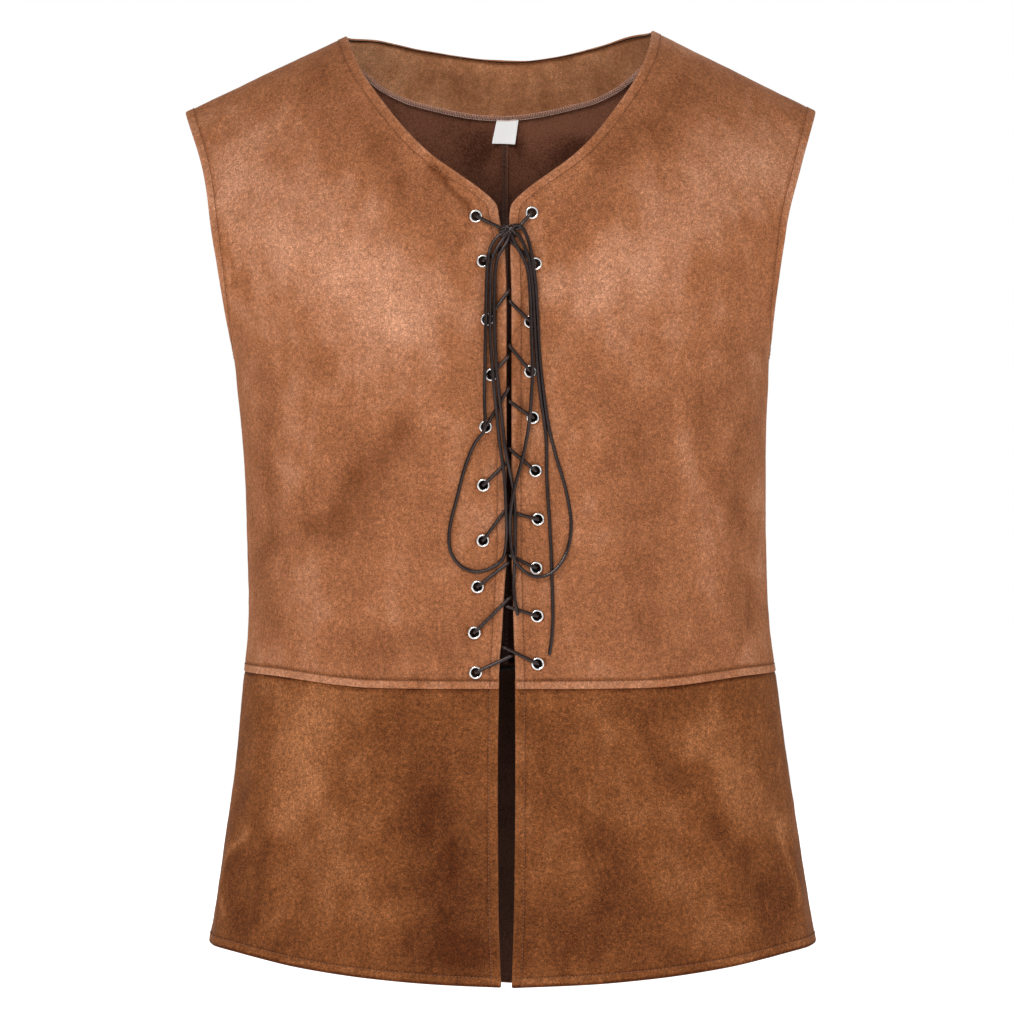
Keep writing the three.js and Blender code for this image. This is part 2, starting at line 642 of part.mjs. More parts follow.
/** A front with a hole for each of its eyelets. */
function withEyeletHoles(front, side) {
  const { length, sides } = CUTTER;
  const solid = eyeletsOf(side).reduce((cloth, eyelet) => {
    const { point, turn } = eyeletSeat(eyelet);
    const cutter = closed(new THREE.CylinderGeometry(EYELET_HOLE, EYELET_HOLE, length, sides));
    cutter.applyMatrix4(new THREE.Matrix4().compose(point, turn, new THREE.Vector3(1, 1, 1)));
    return cloth.subtract(toSolid(cutter));
  }, toSolid(front));
  const { vertProperties, triVerts } = solid.getMesh();
  const geometry = new THREE.BufferGeometry();
  geometry.setAttribute('position', new THREE.BufferAttribute(vertProperties, 3));
  geometry.setIndex(new THREE.BufferAttribute(triVerts, 1));
  return geometry;
}

// ---- The lace ----

/** A path with one section of the tube at each of its points. */
class PointPath extends THREE.Curve {
  constructor(points) {
    super();
    this.points = points;
  }

  getPoint(t, target = new THREE.Vector3()) {
    const last = this.points.length - 1;
    const k = Math.min(Math.floor(t * last), last - 1);
    return target.lerpVectors(this.points[k], this.points[k + 1], t * last - k);
  }

  getPointAt(t, target) {
    return this.getPoint(t, target);
  }

  getTangentAt(t, target = new THREE.Vector3()) {
    const last = this.points.length - 1;
    const k = Math.round(t * last);
    const here = this.points[k];
    const ahead = this.points[Math.min(k + 1, last)].clone().sub(here).normalize();
    return target.subVectors(here, this.points[Math.max(k - 1, 0)]).normalize().add(ahead).normalize();
  }
}

/** A round tube of lace through a list of points. */
function laceTube(points, sides) {
  const corners = Array.from({ length: sides }, (_, k) => {
    const turn = (2 * Math.PI * k) / sides;
    return new THREE.Vector2(LACE * Math.cos(turn), LACE * Math.sin(turn));
  });
  const options = { extrudePath: new PointPath(points), steps: points.length - 1 };
  return closed(new THREE.ExtrudeGeometry(new THREE.Shape(corners), options));
}

/** A line of points with its sharp corners rounded. */
function rounded(corners) {
  const points = [corners[0]];
  for (let k = 1; k < corners.length - 1; k++) {
    const corner = corners[k];
    const back = corners[k - 1].clone().sub(corner);
    const ahead = corners[k + 1].clone().sub(corner);
    const turn = Math.PI - back.angleTo(ahead);
    if (turn < LACE_SHARP) {
      points.push(corner);
      continue;
    }
    const room = Math.min(back.length(), ahead.length()) * BEND_SHARE;
    const reach = Math.min(LACE_BEND * Math.tan(turn / 2), room);
    const from = back.setLength(reach).add(corner);
    const to = ahead.setLength(reach).add(corner);
    points.push(...new THREE.QuadraticBezierCurve3(from, corner, to).getPoints(2));
  }
  return [...points, corners.at(-1)];
}

/** A point of the lace's axis over the front cloth. */
const lacePoint = (x, z, lift) => clothPoint(FRONT, x, z, lift).point;

/** The lace's corners from the slit, or the knot, over the ring and in through one eyelet. */
function intoEyelet(eyelet, from) {
  const reach = RING_REACH / Math.hypot(from.x - eyelet.x, from.z - eyelet.z);
  const x = lerp(eyelet.x, from.x, reach);
  const z = lerp(eyelet.z, from.z, reach);
  return [
    lacePoint(x, z, LACE_LIFT.ring),
    lacePoint(eyelet.x, eyelet.z, LACE_LIFT.ring),
    lacePoint(eyelet.x, eyelet.z, LACE_LIFT.insideRing),
  ];
}

/** Where an eyelet's lace dives through the slit, under the other front's edge. */
function diveOf({ side, slitZ }) {
  return { x: frontEdge[-side](slitZ) + side * DIVE, z: slitZ };
}

/** The lace's corners at one eyelet, from the inside of the slit to the inside of the eyelet. */
function fromSlit(eyelet) {
  const dive = diveOf(eyelet);
  return [
    lacePoint(dive.x, dive.z, LACE_LIFT.inside),
    lacePoint(dive.x, dive.z, LACE_LIFT.cloth),
    ...intoEyelet(eyelet, dive),
  ];
}

/** The held lace: from the knot down to the lowest eyelets and back, crossing over at the slit. */
function lacing() {
  const half = (side) => {
    const other = eyeletsOf(-side);
    const [top, ...rest] = eyeletsOf(side).map((own, i) => (i % 2 === 0 ? own : other[i]));
    const exit = LACE_EXIT[side];
    const start = lacePoint(exit.x, exit.z, LACE_LIFT.knot);
    return [start, ...intoEyelet(top, exit), ...rest.flatMap(fromSlit)];
  };
  return laceTube(rounded([...half(RIGHT), ...half(LEFT).reverse()]), LACE_SIDES.held);
}

// The free lace's routes over the front, from the knot: across, height, and the level it lies at.
const ROUTES = {
  lace_loop_right: table(
    ['x', 'z', 'level'],
    [-0.5, -157.5, 'lace'], [-5.6, -164, 'lace'], [-8.3, -173.4, 'ring'], [-9.4, -189.3, 'lace'],
    [-9.9, -208.1, 'ring'], [-10.1, -226.8, 'ring'], [-10.6, -250.7, 'ring'], [-11, -276, 'lace'],
    [-10.6, -289.7, 'ring'], [-11.4, -298.4, 'ring'], [-17.1, -305.9, 'low'], [-24.4, -322.2, 'cloth'],
    [-30.9, -346.7, 'cloth'], [-36.3, -369.9, 'cloth'], [-35.6, -385, 'cloth'], [-28, -395.9, 'cloth'],
    [-16.4, -400.1, 'cloth'], [-4.9, -396.6, 'cloth'], [2.4, -390.1, 'cloth'], [4.9, -375.6, 'low'],
    [4.5, -354, 'lace'], [3.1, -329.4, 'lace'], [0.2, -308.5, 'lace'], [-2.3, -284.6, 'lace'],
    [-4.1, -265.9, 'ring'], [-5.6, -248.5, 'ring'], [-6.8, -229, 'ring'], [-7, -212.4, 'ring'],
    [-6.7, -192.9, 'lace'], [-5.2, -173.4, 'ring'], [2.4, -160, 'lace'],
  ),
  lace_loop_left: table(
    ['x', 'z', 'level'],
    [15.2, -151, 'lace'], [20.1, -159.7, 'lace'], [23.5, -176.3, 'ring'], [25.8, -192.2, 'lace'],
    [27.1, -214.6, 'low'], [28.7, -243.5, 'cloth'], [31.6, -270.2, 'cloth'], [35.6, -296.2, 'cloth'],
    [40.6, -316.4, 'cloth'], [47.9, -341.7, 'cloth'], [51.5, -366.3, 'cloth'], [48.6, -385, 'cloth'],
    [40.6, -398, 'lace'], [32.7, -402.9, 'lace'], [24.8, -403.2, 'lace'], [16.8, -398.8, 'lace'],
    [10, -389.7, 'loop'], [7.9, -375.6, 'lace'], [7.8, -356.9, 'ring'], [11, -338.1, 'ring'],
    [16.4, -317.9, 'lace'], [20.4, -297.6, 'lace'], [21.7, -286.1, 'ring'], [22.9, -268.7, 'ring'],
    [23.5, -252.9, 'ring'], [22.9, -234.1, 'ring'], [22.4, -215.3, 'ring'], [21.6, -196.5, 'lace'],
    [19.3, -179.2, 'lace'], [9.6, -160, 'lace'],
  ),
  lace_end_left: table(
    ['x', 'z', 'level'],
    [13.9, -157.5, 'lace'], [20.9, -174.8, 'ring'], [23.7, -195.1, 'lace'], [24.8, -218.2, 'lace'],
    [26.9, -250.7, 'low'], [29.8, -276, 'cloth'], [33.3, -302, 'cloth'], [33.8, -330.1, 'cloth'],
    [35, -350, 'cloth'], [36.3, -369.9, 'cloth'], [37.1, -386, 'cloth'], [37.6, -402.4, 'cloth'],
    [38.1, -419, 'cloth'], [38.3, -434.9, 'cloth'], [37.5, -448, 'cloth'], [35.9, -459.4, 'cloth'],
  ),
  lace_end_right: table(
    ['x', 'z', 'level'],
    [5.6, -161.1, 'lace'], [-1.8, -174.8, 'ring'], [-4, -203.7, 'ring'], [-3.6, -231.2, 'ring'],
    [-2, -255.7, 'ring'], [0.8, -283.2, 'lace'], [2.4, -297, 'lace'], [4.2, -312.1, 'ring'],
    [7.2, -327, 'lace'], [9.8, -341, 'cloth'], [11, -358.3, 'lace'], [11.1, -374, 'lace'],
    [11, -388.6, 'lace'], [10.1, -409.6, 'low'], [10.9, -420, 'lace'], [12.8, -430.5, 'lace'],
  ),
};

/** A free loop or end of the lace, lying on the front along its route. */
function freeLace(route) {
  return laceTube(route.map(({ x, z, level }) => lacePoint(x, z, LEVEL[level])), LACE_SIDES.free);
}

/** The bow's knot, a rounded lump in front of the top of the slit. */
function knotGeometry() {
  return closed(new THREE.SphereGeometry(1, KNOT_FACES.round, KNOT_FACES.high).scale(...KNOT.half));
}

// ---- The vest ----

const MATERIALS = {
  suede: new THREE.MeshStandardMaterial({ color: '#a5683f', roughness: 0.95, metalness: 0 }),
  facing: new THREE.MeshStandardMaterial({ color: '#8f5a36', roughness: 0.95, metalness: 0 }),
  overlock: new THREE.MeshStandardMaterial({ color: '#6b4028', roughness: 0.9, metalness: 0 }),
  label: new THREE.MeshStandardMaterial({ color: '#e8e6e2', roughness: 0.7, metalness: 0 }),
  nickel: new THREE.MeshStandardMaterial({ color: '#d8d8d4', roughness: 0.25, metalness: 1 }),
  lace: new THREE.MeshStandardMaterial({ color: '#2b1a14', roughness: 0.55, metalness: 0 }),
};

const vest = new THREE.Group();

/** Adds one named piece to the vest. */
function add(name, geometry, material) {
  const mesh = new THREE.Mesh(geometry, material);
  mesh.name = name;
  vest.add(mesh);
  return mesh;
}

for (const [side, name] of [[RIGHT, 'right'], [LEFT, 'left']]) {
  add(`bodice_front_${name}`, withEyeletHoles(bodiceFront(side), side), MATERIALS.suede);
  add(`bodice_back_${name}`, bodiceBack(side), MATERIALS.suede);
  add(`skirt_front_${name}`, skirtFront(side), MATERIALS.suede);
  eyeletsOf(side).forEach((eyelet, i) => {
    const number = String(i + 1).padStart(2, '0');
    const mesh = add(`eyelet_${name}_${number}`, eyeletGeometry(), MATERIALS.nickel);
    const { point, turn } = eyeletSeat(eyelet);
    mesh.position.copy(point);
    mesh.quaternion.copy(turn);
  });
}
add('skirt_back', skirtBack(), MATERIALS.suede);
add('back_neck_facing', backNeckFacing(), MATERIALS.facing);
add('centre_back_allowance', centreBackAllowance(), MATERIALS.overlock);
add('neck_label', neckLabel(), MATERIALS.label);
add('lacing', lacing(), MATERIALS.lace);
const knot = add('lace_knot', knotGeometry(), MATERIALS.lace);
knot.position.copy(lacePoint(KNOT.x, KNOT.z, LACE_LIFT.knot));
knot.rotation.y = KNOT.tilt;
Object.entries(ROUTES).forEach(([name, route]) => add(name, freeLace(route), MATERIALS.lace));

export default vest;
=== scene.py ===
"""A sleeveless pirate vest in brown suede cloth, laced at the front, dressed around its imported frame.

The cloth pieces lie on one surface, which is worked out in millimetres from the garment's own tables.
Meshes are in metres: +Z is up, the front faces -Y and the wearer's left is +X. The origin lies midway
between the two shoulder points beside the neck.
"""

from __future__ import annotations

import logging
import math
from dataclasses import dataclass, field
from enum import Enum
from functools import cached_property
from typing import Callable, NamedTuple, Sequence

import bpy
import numpy as np
from mathutils import Matrix, Vector, noise
from mathutils.kdtree import KDTree

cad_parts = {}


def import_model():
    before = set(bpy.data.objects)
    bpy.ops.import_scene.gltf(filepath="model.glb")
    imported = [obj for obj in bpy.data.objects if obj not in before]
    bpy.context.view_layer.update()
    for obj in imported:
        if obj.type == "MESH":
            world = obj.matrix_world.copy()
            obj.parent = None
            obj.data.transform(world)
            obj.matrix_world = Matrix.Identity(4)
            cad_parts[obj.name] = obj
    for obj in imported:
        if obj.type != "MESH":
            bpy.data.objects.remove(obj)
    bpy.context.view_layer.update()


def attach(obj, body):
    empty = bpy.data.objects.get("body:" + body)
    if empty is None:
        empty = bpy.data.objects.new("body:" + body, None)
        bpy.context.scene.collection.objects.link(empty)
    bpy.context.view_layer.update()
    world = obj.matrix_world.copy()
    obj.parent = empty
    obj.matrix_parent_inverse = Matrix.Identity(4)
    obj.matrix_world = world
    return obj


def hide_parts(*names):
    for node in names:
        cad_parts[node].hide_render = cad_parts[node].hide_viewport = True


LOG = logging.getLogger("vest")
MM = 0.001  # metres in a millimetre
Array = np.ndarray
Object, Material = bpy.types.Object, bpy.types.Material
Node, Socket = bpy.types.Node, bpy.types.NodeSocket
Colour = tuple[float, float, float]
Line = tuple[Array, Array]  # two arrays that run side by side: x and z, or points and directions
Path = Callable[[Array], Line]
Curve = Callable[[Array], Array]
Field = Callable[[Array, Array], Array]


class Face(Enum):
    """Front or back of the vest. The value is the sign of its y."""

    FRONT = -1
    BACK = 1


class Side(Enum):
    """The wearer's right or left. The value is the sign of its x."""

    RIGHT = -1
    LEFT = 1

    @property
    def word(self) -> str:
        """The side's name in lower case, as in a piece's name."""
        return self.name.lower()


FRONT, BACK = Face.FRONT, Face.BACK
RIGHT, LEFT = Side.RIGHT, Side.LEFT

# ---- Sizes of the garment, in millimetres ----

CLOTH = 1.5  # wall of the suede cloth
SECTION_POWER = 2.3  # of the rounded section: 2 is an ellipse, more is boxier
CENTRE_BACK = 3.7  # x of the centre back seam
UNDERARM = -235.0  # z of the foot of the armhole
STRIP_RAISE = 1.2  # how far the turned bottom edge of the bodice stands proud
STRIP_HEIGHT = 5.2
NECK_DRIFT = 3.2 / -143  # sideways drift of the neckline's centre per mm of height
NECK_SETTLE = 20.0  # distance from the shoulder over which that drift dies out
V_CORNER = 0.07  # share of the neckline that turns the corner at the top of the lacing
RIDGE_BLEND = 60.0  # half width over which the two shoulder slopes run into each other
SHOULDER_ROLL = {FRONT: 190.0, BACK: 150.0}  # height over which a face rolls up to the ridge

# Rows are (z, half width) or (z, x) and so on, as each name says.
BODY_HALF = (
    (5, 276), (-58, 270), (-95, 267), (-120, 264), (-150, 254), (-175, 234), (-190, 225),
    (-200, 218.6), (-215, 211), (-228, 204), (-235, 201), (-265, 198.6), (-295, 196.5), (-355, 194.5),
    (-415, 194.3), (-445, 195.5), (-476, 199), (-535, 205.5), (-595, 214), (-655, 223),
    (-680, 227.5), (-723, 233),
)
ARMHOLE_HALF = (
    (-58, 235.8), (-70, 231.6), (-100, 221.9), (-130, 214.7), (-160, 209.9), (-190, 205.5),
    (-220, 202.2), (UNDERARM, 201),
)
MIDDLE_X = (
    (0, 0), (-58, 0.4), (-100, 1.2), (-150, -0.9), (-205, -0.4), (-235, 1), (-295, 3),
    (-355, 4.5), (-415, 6), (-483, 7.5), (-573, 9), (-720, 9.5),
)
DEPTH = {
    FRONT: ((0, 112), (-100, 113), (-190, 116), (-235, 116), (-330, 112), (-480, 110), (-700, 122)),
    BACK: (
        (0, 100), (-60, 104), (-150, 112), (-235, 108), (-380, 92), (-480, 94), (-600, 108),
        (-723, 118),
    ),
}
NECKLINE_Z = (
    (3.5, -146), (5, -136), (8, -131.3), (18, -122.2), (32, -112), (51, -98), (68, -81.2),
    (85, -59.5), (98, -40.2), (105, -27), (111, -11.6),
)
BACK_NECKLINE_Z = (
    (-115, -0.6), (-95, 0.8), (-79, -0.8), (-62, -3.5), (-44, -5.4), (-24, -7.4), (11, -9.8),
    (41, -7.6), (75, -1.8), (104, 3.7), (114, 3.5),
)
FRONT_EDGE_X = {
    RIGHT: (
        (-146, -0.2), (-165, 3.4), (-205, 4.7), (-390, 4.7), (-411, 3.3), (-435, 1.9), (-485, -0.7),
        (-545, -1.6), (-640, -1.1), (-700, 0.9),
    ),
    LEFT: (
        (-146, 7), (-165, 7.6), (-205, 8.7), (-390, 8.8), (-411, 9.6), (-435, 10.1), (-485, 11.3),
        (-545, 11.5), (-640, 10.6), (-700, 8.8),
    ),
}
WAIST_Z = {
    FRONT: ((0.33, -484.2), (0.5, -483.8), (0.62, -482.2), (0.75, -479.1), (0.87, -476.4), (1, -475)),
    BACK: ((0, -480), (0.6, -479.8), (1, -475)),
}
HEM_Z = {
    FRONT: (
        (0, -699), (0.25, -696.8), (0.45, -693.3), (0.6, -689.6), (0.7, -686.6), (0.82, -682),
        (0.93, -678.2), (1, -676.8),
    ),
    BACK: ((0, -723), (0.5, -716), (0.8, -697), (1, -676.8)),
}
FACING_EDGE_Z = ((0, -53), (66, -42.7), (91, -32.6), (106, -21.4), (122, -10))
FACING_REACH = 130.0


class Shoulder(NamedTuple):
    """The ends of one shoulder seam."""

    neck_x: float
    neck_z: float
    tip_x: float
    tip_z: float


SHOULDERS = {
    RIGHT: Shoulder(-115, -0.6, -235.4, -57.4),
    LEFT: Shoulder(114, 3.5, 236.2, -56.4),
}


class Fold(NamedTuple):
    """A soft ridge, or a trough where `rise` is negative, through (x, z) on one face.

    It leans sideways by `slope` for each mm of height and fades over `width` to either side.
    """

    face: Face
    x: float
    z: float
    length: float
    slope: float
    width: float
    rise: float

    @classmethod
    def rows(cls, face: Face, rows: Sequence[tuple[float, ...]]) -> tuple[Fold, ...]:
        """A table's folds on one face, from its rows of (x, z, length, slope, width, rise)."""
        return tuple(cls(face, *row) for row in rows)


MAIN_FOLDS = Fold.rows(FRONT, (
    (-172, -365, 230, 0.02, 14, -2.5), (181, -360, 210, -0.02, 14, -2.5),
    (-150, -575, 260, -0.05, 22, -4.5), (-96, -600, 240, 0.1, 24, 2.5), (-50, -640, 190, 0.12, 22, -3),
    (36, -560, 230, 0.05, 16, -2.5), (84, -545, 220, -0.1, 20, -3.5), (112, -620, 200, -0.12, 18, 2.5),
    (141, -600, 230, -0.2, 18, -4), (-202, -640, 150, 0.12, 10, 3.5), (216, -640, 150, -0.14, 10, 3.5),
)) + Fold.rows(BACK, (
    (-78, -330, 250, 0.06, 24, -3), (84, -345, 230, -0.08, 24, -3), (-165, -370, 220, 0.02, 16, -2.5),
    (172, -360, 230, -0.03, 16, -2.5), (-150, -600, 290, 0.14, 22, -5), (-104, -640, 220, 0.1, 22, 4),
    (-58, -590, 270, 0.06, 22, -4.5), (4, -640, 230, 0, 24, 3.5), (60, -600, 280, -0.05, 20, -4.5),
    (108, -645, 210, -0.1, 22, 4), (156, -595, 280, -0.14, 20, -5),
))
# Shallow creases that only the dressed cloth has.
CREASES = Fold.rows(FRONT, (
    (-209, -70, 34, 0.62, 2.6, 2.2), (-203, -74, 40, 0.6, 4, -1.6), (213, -66, 34, -0.66, 2.6, 2.2),
    (206, -72, 44, -0.6, 4, -1.6), (-33.4, -123.5, 46, -0.95, 2.6, -1.9),
    (-27, -121, 44, -0.9, 3.4, 0.9), (44, -121, 38, 0.8, 2.8, -0.7), (15.5, -262, 210, 0.02, 2.0, -1.3),
    (11.8, -290, 230, -0.01, 1.6, 0.6), (-4.5, -240, 150, 0.02, 1.8, -0.6),
    (20.5, -345, 150, 0.02, 2.2, -0.5), (-146, -150, 190, -0.55, 26, -1.6),
    (-118, -208, 170, -0.7, 22, 1.5), (152, -150, 190, 0.55, 26, -1.6), (120, -206, 160, 0.7, 22, 1.4),
    (-122, -355, 110, 0.65, 12, -1.7), (-100, -340, 120, 0.6, 14, 1.3), (-70, -430, 130, -0.5, 16, -1.3),
    (100, -400, 150, 0.04, 16, -1.5), (152, -330, 120, -0.22, 8, -1.5), (139, -345, 150, -0.12, 12, 1.4),
    (64, -330, 160, 0.1, 18, 0.9), (-188, -255, 60, 0.5, 7, -1.2), (190, -262, 64, -0.5, 7, -1.2),
    (-186, -450, 70, 0.1, 5, -1.0), (189, -446, 64, -0.15, 5, -1.0), (-192, -560, 150, 0.1, 6, -1.3),
    (205, -570, 150, -0.12, 6, -1.3), (-205, -640, 150, 0.16, 2.4, 1.0),
    (219, -636, 150, -0.17, 2.4, 1.0), (-178, -634, 80, -0.1, 2.6, -0.8),
    (193, -640, 70, 0.12, 2.6, -0.8), (-24, -590, 150, 0.05, 10, -1.1), (58, -640, 120, -0.16, 9, 1.1),
)) + Fold.rows(BACK, (
    (-206, -80, 46, 0.7, 6, -1.2), (206, -80, 46, -0.7, 6, -1.2), (-150, -170, 190, -0.5, 26, -1.8),
    (148, -176, 200, 0.52, 26, -1.9), (-118, -225, 150, -0.6, 20, 1.5), (122, -222, 160, 0.62, 20, 1.5),
    (-36, -90, 120, 0.3, 20, -1.0), (44, -96, 130, -0.26, 22, -1.1), (-20, -300, 150, -0.2, 16, 1.1),
    (34, -410, 140, 0.25, 18, -1.2), (-118, -430, 100, 0.45, 12, -1.4), (126, -425, 110, -0.4, 12, -1.5),
    (-188, -260, 60, 0.4, 7, -1.2), (190, -258, 60, -0.4, 7, -1.2),
))
# Creases that lie nearly level across the facing. A negative rise stands out on its inner side.
FACING_CREASES = Fold.rows(BACK, (
    (40, -22.5, 12, 7, 8, -1.3), (40, -32, 10, 9, 12, -1.1), (-38, -18, 12, -6.5, 8, -1.2),
    (-58, -30, 14, -4, 9, -0.8), (4, -42, 7, 9, 12, -0.6),
))
FADE_SIDE, FADE_RIDGE, FADE_SEAM = 0.035, 14.0, 16.0  # where the folds die out at the seams


class Stroke(NamedTuple):
    """A stroke of brushed pile or of painted light and shade, from (x, z) along (dx, dz): lighter where
    `tone` is above zero.
    """

    face: Face
    x: float
    z: float
    dx: float
    dz: float
    width: float
    tone: float

    @classmethod
    def rows(cls, face: Face, rows: Sequence[tuple[float, ...]]) -> tuple[Stroke, ...]:
        """A table's strokes on one face, from its rows of (x, z, dx, dz, width, tone)."""
        return tuple(cls(face, *row) for row in rows)


# Brushed pile with painted light and shade: a lit chest, shaded sides, and painted shade in creases and
# beside the lacing.
PILE_AND_PAINTED_SHADE = Stroke.rows(FRONT, (
    (-184, -122, 112, -88, 34, 0.62), (-150, -190, 60, -26, 26, 0.3), (-158, -250, 20, -60, 30, 0.2),
    (-128, -52, 88, -100, 19, -0.5), (196, -96, -122, -98, 32, 0.5), (86, -178, -20, -22, 22, 0.3),
    (138, -46, -88, -100, 20, -0.5), (-72, -298, -52, -66, 12, -0.7), (-122, -362, -6, -8, 22, -0.6),
    (-120, -414, 14, -34, 22, -0.04), (-40, -450, -60, 4, 15, -0.34), (-70, -380, 30, -20, 26, -0.18),
    (101, -298, 2, -140, 24, -0.36), (143, -262, 26, -100, 9, -0.5), (138, -306, 8, -88, 14, 0.3),
    (64, -430, 110, -10, 20, -0.16), (-172, -262, 2, -190, 8, -0.52), (181, -262, -2, -190, 8, -0.46),
    (-136, -500, -18, -72, 17, 0.8), (-96, -560, -30, -70, 28, 0.22), (145, -520, 52, -68, 20, 0.45),
    (50, -521, 22, -44, 11, 0.26), (138, -630, 14, -22, 15, 0.3), (98, -508, 88, -112, 13, -0.5),
    (29, -514, 72, -123, 18, -0.5), (34, -640, 46, -20, 20, -0.3), (-50, -590, 6, -60, 26, -0.4),
    (-44, -536, 28, -120, 32, -0.52), (-72, -650, 50, 42, 9, 0.26), (-196, -624, 6, -40, 16, -0.6),
    (208, -620, -6, -44, 16, -0.5), (-140, -668, 290, -14, 13, -0.36), (-47, -110, 22, -26, 2.6, -0.9),
    (-24, -138, -2, -34, 3, -0.45), (33, -150, 4, -30, 3, -0.35), (16, -172, -1, -150, 2.0, -0.6),
    (-2, -180, 5, -90, 1.6, -0.4), (-191, -590, -15, -58, 2.0, 0.9), (-170, -585, -8, -70, 3.6, -0.5),
    (207, -588, 14, -58, 2.0, 0.8),
)) + Stroke.rows(BACK, (
    (-176, -110, 96, -104, 34, 0.6), (182, -120, -100, -90, 34, 0.55), (-120, -50, 70, -110, 22, -0.45),
    (116, -44, -62, -112, 22, -0.45), (-12, -160, -14, -150, 28, 0.25), (-84, -262, 20, -140, 20, -0.4),
    (92, -270, -12, -150, 20, -0.4), (40, -330, 30, -90, 18, 0.32), (-130, -330, -14, -110, 20, 0.3),
    (-176, -270, 4, -180, 9, -0.5), (184, -268, -4, -180, 9, -0.5), (-120, -510, -30, -110, 20, 0.6),
    (-70, -520, -10, -150, 16, -0.5), (-16, -520, 10, -120, 20, 0.4), (56, -510, 20, -150, 16, -0.5),
    (110, -520, 34, -110, 20, 0.55), (170, -540, 30, -100, 16, -0.45), (-180, -560, -20, -90, 16, -0.5),
    (-150, -690, 300, -8, 14, -0.36),
))
# Painted light and shade inside the vest: painted shade under the facing beside the label, lighter patches
# near it and inside the fronts.
INSIDE_PAINTED_LIGHT_AND_SHADE = Stroke.rows(BACK, (
    (-14, -72, -10, -4, 11, -0.7), (19, -64, 0, -14, 6, -0.8), (30, -68, 26, 10, 13, 0.5),
    (66, -56, 18, 10, 13, 0.4), (34, -96, 40, 28, 7, -0.7), (-38, -66, -30, 14, 13, 0.25),
    (-22, -98, -26, 22, 8, -0.3), (-12, -88, 6, 8, 6, 0.3),
)) + Stroke.rows(FRONT, (
    (-120, -120, 30, -60, 30, 0.4), (124, -130, -30, -60, 30, 0.4),
))
NAP_WANDER = 14.0  # how far the edge of a brushed or painted patch strays
INSIDE_SHADE_DEPTHS = (80.0, 135.0)  # how far down the painted shade darkens the inside of the vest, from the first to the second

# ---- Eyelets and lace ----


class Eyelet(NamedTuple):
    """An eyelet's place on the front, and the height at which its lace comes out of the slit."""

    x: float
    z: float
    slit_z: float


EYELETS = {
    RIGHT: (
        Eyelet(-17.3, -143.1, 0), Eyelet(-12, -175.6, -163.5), Eyelet(-9.05, -217.9, -197.1),
        Eyelet(-6.1, -257.7, -244.2), Eyelet(-10.2, -295.2, -267.1), Eyelet(-11.9, -337.5, -319.5),
        Eyelet(-12.2, -377.6, -352), Eyelet(-16.1, -411, -393), Eyelet(-18.4, -444.3, -418.3),
        Eyelet(-17.5, -473.1, -460.5),
    ),
    LEFT: (
        Eyelet(23.2, -140.6, 0), Eyelet(25.8, -177.5, -158.5), Eyelet(22.1, -219.4, -204.2),
        Eyelet(22.1, -255.3, -236.5), Eyelet(23.9, -288.6, -276.7), Eyelet(25.8, -327, -310.9),
        Eyelet(27.6, -362.1, -356.5), Eyelet(26.3, -397.4, -388), Eyelet(27.1, -432.1, -424.8),
        Eyelet(27.5, -466.7, -454.5),
    ),
}
EYELET_HOLE = 3.05  # radius of the hole in the cloth
LACE = 1.3  # radius of the lace
LACE_SIDES = 12
LACE_EXIT = {RIGHT: (-0.4, -151.6), LEFT: (15.2, -149.8)}  # where the held lace leaves the knot
LIFT = {"cloth": 1.4, "ring": 2.3, "knot": 3.9, "inside": -3.3, "inside_ring": -3.9}
RING_REACH = 4.2  # how far from an eyelet's centre the lace still rides on the ring
DIVE = 2.0  # from a front edge to where the lace dives beside it
LEVEL = {"cloth": 1.5, "low": 2.8, "lace": 4.1, "ring": 4.9, "loop": 6.9}  # of the free lace
KNOT_PLACE = (7.4, -153.5)
KNOT_TILT = -0.26


class Cord(NamedTuple):
    """A free loop or end of the lace: its real length in metres, its far end and its route."""

    length: float
    far_end: str
    route: tuple[tuple[float, float, str], ...]


